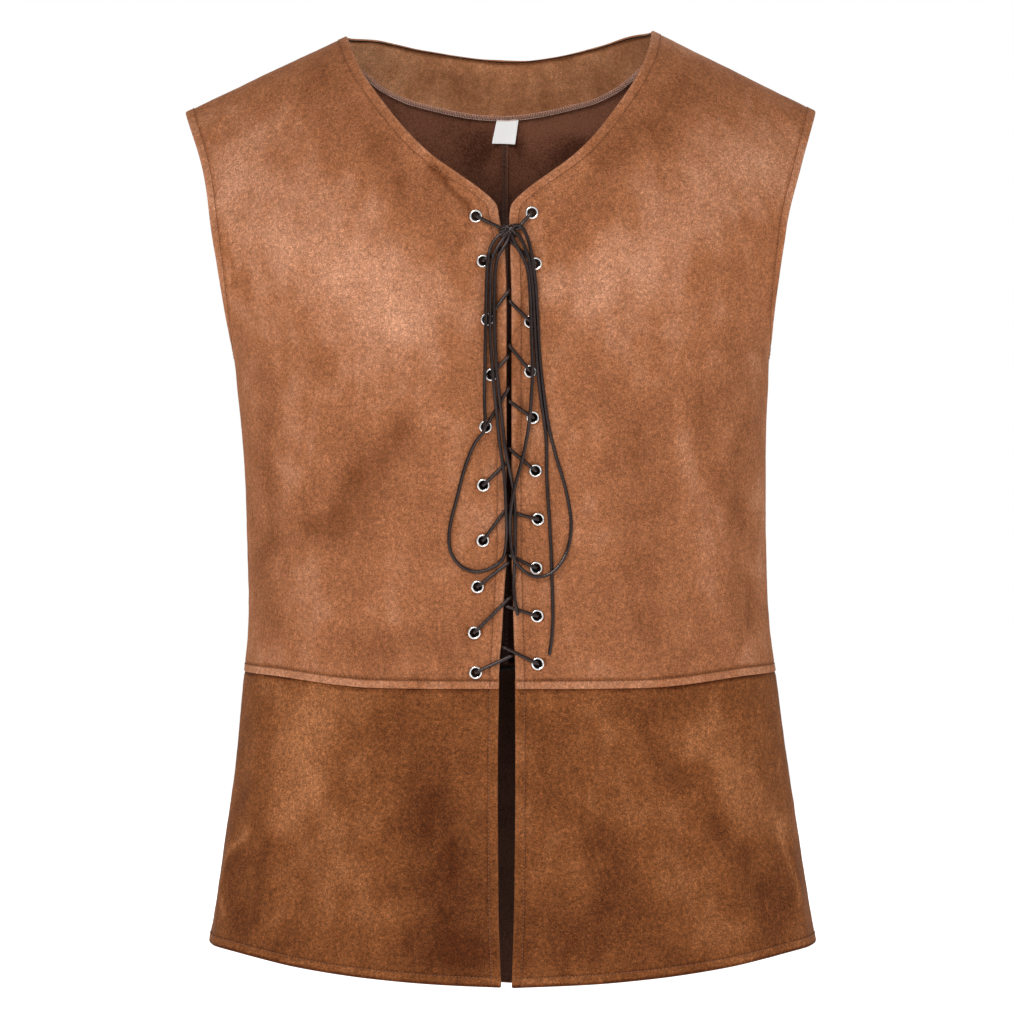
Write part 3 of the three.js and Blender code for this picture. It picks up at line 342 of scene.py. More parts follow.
CORDS = {
    "lace_loop_right": Cord(0.52, "object", (
        (-0.5, -157.5, "lace"), (-5.6, -164, "lace"), (-8.3, -173.4, "ring"),
        (-9.4, -189.3, "lace"), (-9.9, -208.1, "ring"), (-10.1, -226.8, "ring"),
        (-10.6, -250.7, "ring"), (-11, -276, "lace"), (-10.6, -289.7, "ring"),
        (-11.4, -298.4, "ring"), (-17.1, -305.9, "low"), (-24.4, -322.2, "cloth"),
        (-30.9, -346.7, "cloth"), (-36.3, -369.9, "cloth"), (-35.6, -385, "cloth"),
        (-28, -395.9, "cloth"), (-16.4, -400.1, "cloth"), (-4.9, -396.6, "cloth"),
        (2.4, -390.1, "cloth"), (4.9, -375.6, "low"), (4.5, -354, "lace"), (3.1, -329.4, "lace"),
        (0.2, -308.5, "lace"), (-2.3, -284.6, "lace"), (-4.1, -265.9, "ring"),
        (-5.6, -248.5, "ring"), (-6.8, -229, "ring"), (-7, -212.4, "ring"), (-6.7, -192.9, "lace"),
        (-5.2, -173.4, "ring"), (2.4, -160, "lace"),
    )),
    "lace_loop_left": Cord(0.53, "object", (
        (15.2, -151, "lace"), (20.1, -159.7, "lace"), (23.5, -176.3, "ring"),
        (25.8, -192.2, "lace"), (27.1, -214.6, "low"), (28.7, -243.5, "cloth"),
        (31.6, -270.2, "cloth"), (35.6, -296.2, "cloth"), (40.6, -316.4, "cloth"),
        (47.9, -341.7, "cloth"), (51.5, -366.3, "cloth"), (48.6, -385, "cloth"),
        (40.6, -398, "lace"), (32.7, -402.9, "lace"), (24.8, -403.2, "lace"),
        (16.8, -398.8, "lace"), (10, -389.7, "loop"), (7.9, -375.6, "lace"), (7.8, -356.9, "ring"),
        (11, -338.1, "ring"), (16.4, -317.9, "lace"), (20.4, -297.6, "lace"),
        (21.7, -286.1, "ring"), (22.9, -268.7, "ring"), (23.5, -252.9, "ring"),
        (22.9, -234.1, "ring"), (22.4, -215.3, "ring"), (21.6, -196.5, "lace"),
        (19.3, -179.2, "lace"), (9.6, -160, "lace"),
    )),
    "lace_end_left": Cord(0.305, "bare", (
        (13.9, -157.5, "lace"), (20.9, -174.8, "ring"), (23.7, -195.1, "lace"),
        (24.8, -218.2, "lace"), (26.9, -250.7, "low"), (29.8, -276, "cloth"),
        (33.3, -302, "cloth"), (33.8, -330.1, "cloth"), (35, -350, "cloth"),
        (36.3, -369.9, "cloth"), (37.1, -386, "cloth"), (37.6, -402.4, "cloth"),
        (38.1, -419, "cloth"), (38.3, -434.9, "cloth"), (37.5, -448, "cloth"),
        (35.9, -459.4, "cloth"),
    )),
    "lace_end_right": Cord(0.275, "bare", (
        (5.6, -161.1, "lace"), (-1.8, -174.8, "ring"), (-4, -203.7, "ring"), (-3.6, -231.2, "ring"),
        (-2, -255.7, "ring"), (0.8, -283.2, "lace"), (2.4, -297, "lace"), (4.2, -312.1, "ring"),
        (7.2, -327, "lace"), (9.8, -341, "cloth"), (11, -358.3, "lace"), (11.1, -374, "lace"),
        (11, -388.6, "lace"), (10.1, -409.6, "low"), (10.9, -420, "lace"), (12.8, -430.5, "lace"),
    )),
}

# ---- Curves and small sums ----


class SmoothCurve:
    """A smooth curve through rows of (at, value) that never overshoots them."""

    def __init__(self, rows: Sequence[tuple[float, float]]) -> None:
        """Works out the curve's tangents.

        Args:
            rows: the (at, value) pairs, in any order.
        """
        at, value = np.array(sorted(rows), float).T
        self.at, self.value, self.step = at, value, np.diff(at)
        slope = np.diff(value) / self.step
        tangent = np.empty_like(value)
        tangent[0], tangent[-1] = slope[0], slope[-1]
        for i in range(1, len(at) - 1):
            before = 2 * self.step[i] + self.step[i - 1]
            after = self.step[i] + 2 * self.step[i - 1]
            turns = slope[i - 1] * slope[i] <= 0
            tangent[i] = 0 if turns else (before + after) / (before / slope[i - 1] + after / slope[i])
        self.tangent = tangent

    def __call__(self, x: Array | float) -> Array:
        """The curve's value at x, constant past its ends."""
        x = np.clip(np.asarray(x, float), self.at[0], self.at[-1])
        i = np.clip(np.searchsorted(self.at, x, side="right") - 1, 0, len(self.step) - 1)
        t = (x - self.at[i]) / self.step[i]
        s = 1 - t
        ends = self.value[i] * s * s * (1 + 2 * t) + self.value[i + 1] * t * t * (1 + 2 * s)
        return ends + self.step[i] * (self.tangent[i] * t * s * s - self.tangent[i + 1] * t * t * s)


def lerp(a: Array | float, b: Array | float, t: Array | float) -> Array:
    """The value a share t of the way from a to b."""
    return a + (b - a) * t


def smoothstep(value: Array, low: float, high: float) -> Array:
    """0 below `low` and 1 above `high`, smooth between."""
    t = np.clip((value - low) / (high - low), 0, 1)
    return t * t * (3 - 2 * t)


def bell(value: Array, width: float) -> Array:
    """1 at 0, and soon nothing past `width` to either side."""
    return np.exp(-((value / width) ** 2))


def signed_power(value: Array, power: float) -> Array:
    """A power that keeps its sign."""
    return np.sign(value) * np.abs(value) ** power


def unit(vectors: Array) -> Array:
    """Vectors of length one."""
    return vectors / np.maximum(np.linalg.norm(vectors, axis=-1, keepdims=True), 1e-12)


def run_of(points: Array) -> Array:
    """How far along a line of points each of them lies."""
    return np.concatenate([[0], np.cumsum(np.linalg.norm(np.diff(points, axis=0), axis=1))])


def ripple(values: Array, scale: float, seed: float) -> Array:
    """Smooth noise from -1 to 1 along one value.

    Args:
        values: where to read it, in millimetres.
        scale: millimetres from one wave to the next.
        seed: which noise it is.

    Returns:
        One value for each place.
    """
    flat = [noise.noise(Vector((v / scale, seed, 0.5 * seed))) for v in np.ravel(values)]
    return np.array(flat).reshape(np.shape(values))


def mottle(x: Array, z: Array, scale: float, seed: float) -> Array:
    """Smooth noise from -1 to 1 over (x, z), `scale` millimetres from one blotch to the next."""
    pairs = zip(np.ravel(x), np.ravel(z))
    flat = [noise.noise(Vector((a / scale, b / scale, seed))) for a, b in pairs]
    return np.array(flat).reshape(np.shape(x))


# ---- The surface that the cloth lies on ----


class VestForm:
    """The vest's worn form: a rounded section at each height, rolled up to the shoulder ridge."""

    PROBE = 0.05  # half the step used to find the outward direction

    def __init__(self) -> None:
        """Makes the curves of the form from the garment's tables."""
        self.body_half = SmoothCurve(BODY_HALF)
        self.armhole_half = SmoothCurve(ARMHOLE_HALF)
        self.middle = SmoothCurve(MIDDLE_X)
        self.depth = {face: SmoothCurve(rows) for face, rows in DEPTH.items()}
        self.front_edge = {side: SmoothCurve(rows) for side, rows in FRONT_EDGE_X.items()}
        self.waist = {face: SmoothCurve(rows) for face, rows in WAIST_Z.items()}
        self.hem = {face: SmoothCurve(rows) for face, rows in HEM_Z.items()}
        self.back_neckline = SmoothCurve(BACK_NECKLINE_Z)

    def ridge(self, x: Array) -> Array:
        """Height of the shoulder ridge, where front and back meet, at x."""
        slopes = []
        for side in (RIGHT, LEFT):
            end = SHOULDERS[side]
            slopes.append(lerp(end.neck_z, end.tip_z, (x - end.neck_x) / (end.tip_x - end.neck_x)))
        return lerp(slopes[0], slopes[1], smoothstep(x, -RIDGE_BLEND, RIDGE_BLEND))

    def width_share(self, x: Array, z: Array) -> Array:
        """How far out x lies, as a share of the half width at that height."""
        return (x - self.middle(z)) / self.body_half(z)

    def above_waist(self, face: Face, x: Array, z: Array) -> Array:
        """How far (x, z) lies above the waist seam."""
        return z - self.waist[face](np.abs(self.width_share(x, z)))

    def rolled(self, face: Face, x: Array, z: Array) -> Array:
        """How far the shoulder roll has come: 0 at the ridge, 1 where the face is full."""
        drop = (self.ridge(x) - z) / SHOULDER_ROLL[face]
        return 1 - (1 - np.minimum(drop, 1)) ** 2

    def beyond(self, face: Face, x: Array, y: Array, z: Array) -> Array:
        """Zero on the cloth, above zero outside it."""
        section = 1 - np.abs(self.width_share(x, z)) ** SECTION_POWER
        roll = signed_power(self.rolled(face, x, z), SECTION_POWER / 2)
        return (np.abs(y) / self.depth[face](z)) ** SECTION_POWER - section * roll

    def outward(self, face: Face, point: Array) -> Array:
        """The cloth's outward direction at points on it."""
        x, y, z = np.moveaxis(point, -1, 0)
        h = self.PROBE
        across = self.beyond(face, x + h, y, z) - self.beyond(face, x - h, y, z)
        through = self.beyond(face, x, y + h, z) - self.beyond(face, x, y - h, z)
        up = self.beyond(face, x, y, z + h) - self.beyond(face, x, y, z - h)
        return unit(np.stack([across, through, up], axis=-1))

    def place(self, face: Face, x: Array, z: Array) -> Line:
        """Points of the unfolded cloth over (x, z) and their outward directions."""
        x, z = np.broadcast_arrays(np.asarray(x, float), np.asarray(z, float))
        share = np.abs(self.width_share(x, z))
        section = np.maximum(1 - share**SECTION_POWER, 0) ** (1 / SECTION_POWER)
        roll = np.sqrt(np.maximum(self.rolled(face, x, z), 0))
        point = np.stack([x, face.value * self.depth[face](z) * section * roll, z], axis=-1)
        return point, self.outward(face, point)

    def fold_rise(self, face: Face, x: Array, z: Array, folds: Sequence[Fold]) -> Array:
        """How far a list of folds stands out at (x, z)."""
        share = np.abs(self.width_share(x, z))
        fade = smoothstep(1 - share, 0, FADE_SIDE) * smoothstep(self.ridge(x) - z, 0, FADE_RIDGE)
        fade = fade * smoothstep(np.abs(z - self.waist[face](share)), 0, FADE_SEAM)
        rise = np.zeros(np.shape(x))
        for fold in folds:
            if fold.face is face:
                along = np.minimum(np.abs(z - fold.z) / (fold.length / 2), 1)
                off = x - fold.x - fold.slope * (z - fold.z)
                rise += fold.rise * np.cos(along * math.pi / 2) ** 2 * bell(off, fold.width)
        return rise * fade

    def cloth(self, face: Face, x: Array, z: Array, lift: Array | float = 0.0) -> Array:
        """Points of the folded cloth over (x, z), lifted off it."""
        point, normal = self.place(face, x, z)
        rise = self.fold_rise(face, np.asarray(x, float), np.asarray(z, float), MAIN_FOLDS)
        return point + normal * np.asarray(rise + lift)[..., None]

    def side_seam(self, side: Side) -> Curve:
        """The side seam's x at a height."""
        return lambda z: self.middle(z) + side.value * self.body_half(z)

    def armhole(self, side: Side) -> Curve:
        """The armhole edge's x at a height."""
        return lambda z: self.middle(z) + side.value * self.armhole_half(z)


FORM = VestForm()


def up_path(low: float, high: float, x_at: Curve) -> Path:
    """A path straight up from one height to another, with x worked out from z."""

    def path(s: Array) -> Line:
        z = lerp(low, high, s)
        return x_at(z) + 0 * z, z

    return path


def neckline_path(side: Side, start: float, end: float) -> Path:
    """A stretch of the front neckline, from the top of the lacing (0) to the shoulder (1)."""
    seam = SHOULDERS[side]
    reach = abs(seam.neck_x)
    height = SmoothCurve((*NECKLINE_Z, (reach, seam.neck_z)))

    def path(s: Array) -> Line:
        out = lerp(NECKLINE_Z[0][0], reach, lerp(start, end, s))
        z = height(out)
        settled = np.minimum((reach - out) / NECK_SETTLE, 1)
        return NECK_DRIFT * np.minimum(z, 0) * settled + side.value * out, z

    return path


def back_neck_path(start: float, end: float) -> Path:
    """A stretch of the back neckline between two places across."""

    def path(s: Array) -> Line:
        x = lerp(start, end, s)
        return x, FORM.back_neckline(x)

    return path


# ---- Panels: grids of points over the form ----


class Edge(Enum):
    """How a panel's edge is finished."""

    TURNED = "folded in and topstitched"
    SEWN = "sewn to the next panel"
    CUT = "cut and overlocked"


class Stretch(NamedTuple):
    """A stretch of a panel's boundary, with the shares of its length at which rows end."""

    path: Path
    ends: Array


SAMPLES = 120
TIGHT = 0.86  # how much closer together rows stand at a finished end
TIGHT_OVER = 3.0  # rows over which that dies out


def even(count: int, tight_start: bool = False, tight_end: bool = False) -> Array:
    """Shares from 0 to 1 in `count` steps, closer together towards an end that is marked tight."""
    i = np.arange(count)
    start = TIGHT * np.exp(-i / TIGHT_OVER) * tight_start
    end = TIGHT * np.exp(-(count - 1 - i) / TIGHT_OVER) * tight_end
    size = 1 - start - end
    return np.concatenate([[0], np.cumsum(size)]) / size.sum()


def boundary(face: Face, stretches: Sequence[Stretch]) -> Line:
    """The (x, z) row ends along a boundary, spaced along the cloth.

    Args:
        face: the face that the boundary lies on.
        stretches: its stretches, each starting where the last one ends.

    Returns:
        The row ends' x and z.
    """
    ends: list[Array] = []
    for stretch in stretches:
        shares = np.linspace(0, 1, SAMPLES + 1)
        x, z = stretch.path(shares)
        run = run_of(FORM.place(face, x, z)[0])
        at = np.interp(stretch.ends * run[-1], run, shares)
        new = np.stack([np.interp(at, shares, x), np.interp(at, shares, z)])
        ends.append(new[:, 1:] if ends else new)
    both = np.concatenate(ends, axis=1)
    return both[0], both[1]


@dataclass
class Grid:
    """The points of a panel: rows from its inner to its outer boundary, from the bottom up."""

    face: Face
    x: Array
    z: Array
    base: Array
    normal: Array

    @property
    def shape(self) -> tuple[int, int]:
        """How many rows and columns there are."""
        return self.x.shape


# Where the columns beside a finished edge stand: distances from it in millimetres.
BESIDE_EDGE = np.array([0, 0.35, 1.0, 2.4, 4.2, 5.5, 6.1, 6.6, 7.2, 8.1, 9.7, 12.3])
STITCH_COLUMN = 7  # the one that carries the topstitching
STITCH_AT = float(BESIDE_EDGE[STITCH_COLUMN])
FAR = 1e3  # a distance from an edge that has no bearing on it
RIM = 0.85  # how far the rounded rim of a free edge reaches past its last column
RIM_OVER = 3.6  # distance from the edge over which the columns make room for it
MOST_BESIDE = 0.4  # share of a row that the columns beside one edge may take
FREE_OVER = 6  # rows over which a sewn edge becomes a free one


def inset(distances: Array, free: Array | float = 1.0) -> Array:
    """Distances from an edge, kept clear of it where it is free so that its rim ends on it."""
    return distances + RIM * free * np.maximum(1 - distances / RIM_OVER, 0)


class EdgeLines(NamedTuple):
    """The four edges of a cut panel, as lines on the form."""

    inner: Array
    outer: Array
    bottom: Array
    top: Array


@dataclass
class Cut:
    """How one panel is cut: its boundaries and the columns between them.

    `bottom` and `top` give the z of curved end rows, whose bow dies out over `reach` of the rows.
    `free_inner` and `free_outer` are the first rows at which those edges aren't sewn, if any are.
    """

    face: Face
    inner: Sequence[Stretch]
    outer: Sequence[Stretch]
    columns: int
    bottom: Curve | None = None
    top: Curve | None = None
    reach: float = 1.0
    crest: bool = False
    free_inner: int | None = None
    free_outer: int | None = None

    @property
    def lines(self) -> EdgeLines:
        """The panel's edges."""
        base = self.grid.base
        return EdgeLines(base[:, 0], base[:, -1], base[0], base[-1])

    @cached_property
    def grid(self) -> Grid:
        """The panel's grid over the unfolded form."""
        x0, z0 = boundary(self.face, self.inner)
        x1, z1 = boundary(self.face, self.outer)
        edge0 = FORM.place(self.face, x0, z0)[0]
        edge1 = FORM.place(self.face, x1, z1)[0]
        rows = len(x0)
        run = (run_of(edge0) / run_of(edge0)[-1] + run_of(edge1) / run_of(edge1)[-1]) / 2
        fine = np.linspace(0, 1, SAMPLES + 1)
        fine = (1 - np.cos(fine * math.pi)) / 2
        low = self.bow(self.bottom, x0[0], z0[0], x1[0], z1[0])
        high = self.bow(self.top, x0[-1], z0[-1], x1[-1], z1[-1])

        def row(i: int, share: Array) -> Line:
            x = lerp(x0[i], x1[i], share)
            fade_low = max(1 - run[i] / self.reach, 0)
            fade_high = max(1 - (1 - run[i]) / self.reach, 0)
            level = lerp(z0[i], z1[i], share)
            z = level + fade_low * low(share) + fade_high * high(share)
            x = FORM.middle(z) + FORM.body_half(z) * FORM.width_share(x, level)
            if self.crest and i == rows - 1:
                z = FORM.ridge(x)
            return x, z

        slants = [self.slant(edge0, edge1, edge) for edge in (edge0, edge1)]
        free = [self.freedom(rows, first) for first in (self.free_inner, self.free_outer)]
        xs, zs = [], []
        for i in range(rows):
            points = FORM.place(self.face, *row(i, fine))[0]
            along = run_of(points)
            near = inset(BESIDE_EDGE, free[0][i]) * slants[0][i]
            far = along[-1] - inset(BESIDE_EDGE, free[1][i])[::-1] * slants[1][i]
            room = along[-1] * MOST_BESIDE
            near = near * min(1, room / near[-1])
            far = along[-1] - (along[-1] - far) * min(1, room / (along[-1] - far[0]))
            middle = np.linspace(near[-1], far[0], self.columns + 2)[1:-1]
            share = np.interp(np.concatenate([near, middle, far]), along, fine)
            x, z = row(i, share)
            xs.append(x)
            zs.append(z)
        x, z = np.array(xs), np.array(zs)
        base, normal = FORM.place(self.face, x, z)
        return Grid(self.face, x, z, base, normal)

    @staticmethod
    def freedom(rows: int, first: int | None) -> Array:
        """0 on the rows where an edge is sewn and 1 where it is free, with a soft change."""
        if not first:
            return np.full(rows, 0.0 if first is None else 1.0)
        return smoothstep(np.arange(rows), first, first + FREE_OVER)

    def bow(
        self, curve: Curve | None, x0: float, z0: float, x1: float, z1: float
    ) -> Curve:
        """How far a curved end row departs from the straight line between its ends, by share."""

        def off(share: Array) -> Array:
            if curve is None:
                return np.zeros_like(share)
            chord = lerp(z0, z1, share)
            return curve(np.abs(FORM.width_share(lerp(x0, x1, share), chord))) - chord

        return off

    @staticmethod
    def slant(edge0: Array, edge1: Array, edge: Array) -> Array:
        """How much longer than its distance from the edge a row is where it meets it aslant."""
        tangent = unit(np.gradient(edge, axis=0))
        across = unit(edge1 - edge0)
        sine = np.linalg.norm(np.cross(tangent, across), axis=1)
        smooth = np.convolve(np.pad(sine, 4, mode="edge"), np.ones(9) / 9, mode="valid")
        return 1 / np.maximum(smooth, 0.45)


@dataclass
class Border:
    """One finished edge of a panel: its line on the form and how it is made."""

    line: Array
    kind: Edge
    pucker: float
    seed: float

    FINE = 0.5  # spacing of the points that distances are measured to
    REACH = 60.0  # how far from the edge its puckers may be felt

    def measured(self, points: Array) -> Line:
        """The distance of each point from the edge, and how far along the edge it lies."""
        run = run_of(self.line)
        at = np.linspace(0, run[-1], max(int(run[-1] / self.FINE), 2))
        fine = np.stack([np.interp(at, run, self.line[:, k]) for k in range(3)], axis=1)
        tree = KDTree(len(fine))
        for i, point in enumerate(fine):
            tree.insert(point, i)
        tree.balance()
        found = [tree.find(point) for point in points.reshape(-1, 3)]
        off = np.array([f[2] for f in found]).reshape(points.shape[:-1])
        along = at[np.array([f[1] for f in found])].reshape(points.shape[:-1])
        return off, along

    def relief(self, off: Array, along: Array) -> Array:
        """How far this edge's making raises or sinks the cloth beside it."""
        near = off < self.REACH
        wave = np.zeros_like(off)
        short = ripple(along[near], 9.0, self.seed) + 0.6 * ripple(along[near], 4.5, self.seed + 9)
        wave[near] = self.pucker * short
        if self.kind is Edge.TURNED:
            raised = 0.26 * (1 - smoothstep(off, STITCH_AT - 1.0, STITCH_AT + 1.6))
            return raised - 0.34 * bell(off - STITCH_AT, 0.75) + wave * bell(off - STITCH_AT, 6)
        if self.kind is Edge.SEWN:
            return 0.2 * bell(off, 4) - 0.8 * bell(off, 1.4) + wave * np.exp(-off / 8)
        return wave * np.exp(-off / 12) * 2


# ---- Meshes ----


@dataclass
class MeshData:
    """Points, faces, face materials and point values, before they become an object."""

    points: list[Array] = field(default_factory=list)
    faces: list[tuple[int, ...]] = field(default_factory=list)
    slots: list[int] = field(default_factory=list)
    uv: list[Array] = field(default_factory=list)
    values: dict[str, list[Array]] = field(default_factory=dict)

    @property
    def count(self) -> int:
        """How many points there are."""
        return sum(len(p) for p in self.points)

    def add_points(self, points: Array, uv: Array, **values: Array) -> int:
        """Adds points with their UV and named values, and returns the first one's index."""
        start = self.count
        self.points.append(points.reshape(-1, 3))
        self.uv.append(uv.reshape(-1, 2))
        for name, value in values.items():
            self.values.setdefault(name, []).append(np.ravel(value))
        return start

    def add_faces(self, faces: Sequence[Sequence[int]], slot: int = 0) -> None:
        """Adds faces that take one material."""
        self.faces += [tuple(int(i) for i in face) for face in faces]
        self.slots += [slot] * len(faces)

    def object(self, name: str, materials: Sequence[Material]) -> Object:
        """Makes the object, in metres, with smooth faces.

        Args:
            name: the piece's name.
            materials: one for each slot that the faces use.

        Returns:
            The object, linked to the scene.
        """
        mesh = bpy.data.meshes.new(name)
        points = np.concatenate(self.points) * MM
        mesh.from_pydata(points.tolist(), [], self.faces)
        for material in materials:
            mesh.materials.append(material)
        mesh.polygons.foreach_set("material_index", self.slots)
        mesh.polygons.foreach_set("use_smooth", [True] * len(self.faces))
        corner = np.zeros(len(mesh.loops), np.int32)
        mesh.loops.foreach_get("vertex_index", corner)
        uv = np.concatenate(self.uv)[corner] * MM
        mesh.uv_layers.new(name="UVMap").uv.foreach_set("vector", uv.ravel())
        for key, parts in self.values.items():
            layer = mesh.attributes.new(key, "FLOAT", "POINT")
            layer.data.foreach_set("value", np.concatenate(parts).astype(np.float32))
        mesh.validate()
        mesh.update()
        piece = bpy.data.objects.new(name, mesh)
        bpy.context.scene.collection.objects.link(piece)
        return piece


def frames_along(points: Array, start_up: Array | None = None) -> tuple[Array, Array, Array]:
    """Directions along, up and across a line of points, turned as little as possible."""
    along = unit(np.gradient(points, axis=0))
    up = np.zeros_like(points)
    guess = start_up if start_up is not None else np.array([0.0, -1.0, 0.3])
    for i, direction in enumerate(along):
        guess = guess - direction * guess.dot(direction)
        up[i] = guess = guess / max(np.linalg.norm(guess), 1e-9)
    return along, up, np.cross(along, up)


def add_tube(data: MeshData, points: Array, radius: Array | float, sides: int, slot: int = 0) -> None:
    """Adds a round tube with rounded ends along a line of points, with its UV in millimetres."""
    along, up, across = frames_along(points)
    radius = np.broadcast_to(np.asarray(radius, float), (len(points),)).copy()
    cap = np.array([0.98, 0.8, 0.45])
    before = points[0] - np.outer(cap * radius[0], along[0])
    after = points[-1] + np.outer(cap[::-1] * radius[-1], along[-1])
    shrink = np.sqrt(np.maximum(1 - cap**2, 0.02))
    centres = np.concatenate([before, points, after])
    radii = np.concatenate([radius[0] * shrink, radius, radius[-1] * shrink[::-1]])
    ends = [np.repeat(v[:1], 3, axis=0) for v in (up, across)]
    tails = [np.repeat(v[-1:], 3, axis=0) for v in (up, across)]
    up = np.concatenate([ends[0], up, tails[0]])
    across = np.concatenate([ends[1], across, tails[1]])
    turn = np.arange(sides) * 2 * math.pi / sides
    ring = up[:, None] * np.cos(turn)[None, :, None] + across[:, None] * np.sin(turn)[None, :, None]
    rings = centres[:, None] + ring * radii[:, None, None]
    run = run_of(centres)
    uv = np.stack(np.broadcast_arrays(turn[None, :] * radii.mean(), run[:, None]), axis=-1)
    start = data.add_points(rings, uv)
    faces = []
    for i in range(len(centres) - 1):
        for k in range(sides):
            a, b = start + i * sides + k, start + i * sides + (k + 1) % sides
            faces.append((a, b, b + sides, a + sides))
    faces.append(tuple(start + k for k in reversed(range(sides))))
    faces.append(tuple(start + (len(centres) - 1) * sides + k for k in range(sides)))
    data.add_faces(faces, slot)


def through(points: Array, pieces: int) -> Array:
    """A smooth line through points, each stretch cut into `pieces`."""
    padded = np.concatenate([2 * points[:1] - points[1:2], points, 2 * points[-1:] - points[-2:-1]])
    line = []
    for i in range(len(points) - 1):
        p0, p1, p2, p3 = padded[i : i + 4]
        gaps = np.linalg.norm(np.diff(padded[i : i + 4], axis=0), axis=1) ** 0.5 + 1e-9
        m1 = (p1 - p0) / gaps[0] - (p2 - p0) / (gaps[0] + gaps[1]) + (p2 - p1) / gaps[1]
        m2 = (p2 - p1) / gaps[1] - (p3 - p1) / (gaps[1] + gaps[2]) + (p3 - p2) / gaps[2]
        m1, m2 = m1 * gaps[1], m2 * gaps[1]
        for t in np.arange(pieces) / pieces:
            s = 1 - t
            ends = p1 * (s * s * (1 + 2 * t)) + p2 * (t * t * (1 + 2 * s))
            line.append(ends + m1 * (t * s * s) - m2 * (t * t * s))
    return np.array([*line, points[-1]])


# ---- Shells of cloth ----


@dataclass(frozen=True)
class Lining:
    """The inner side of a shell: how thick the cloth is and where its right side shows inside."""

    thickness: float = CLOTH
    turned_depth: float = 9.0
    turned_extra: float = 0.7


HOLE_SIDES = 20
HOLE_CLEAR = 0.9  # cloth cells this near a hole's rim are cut away and filled again
EYELET_PAINTED_SHADOW = 2.2  # how much painted shadow darkens the cloth round an eyelet
RIM_TURNS = (math.pi / 4, math.pi / 2, 3 * math.pi / 4)


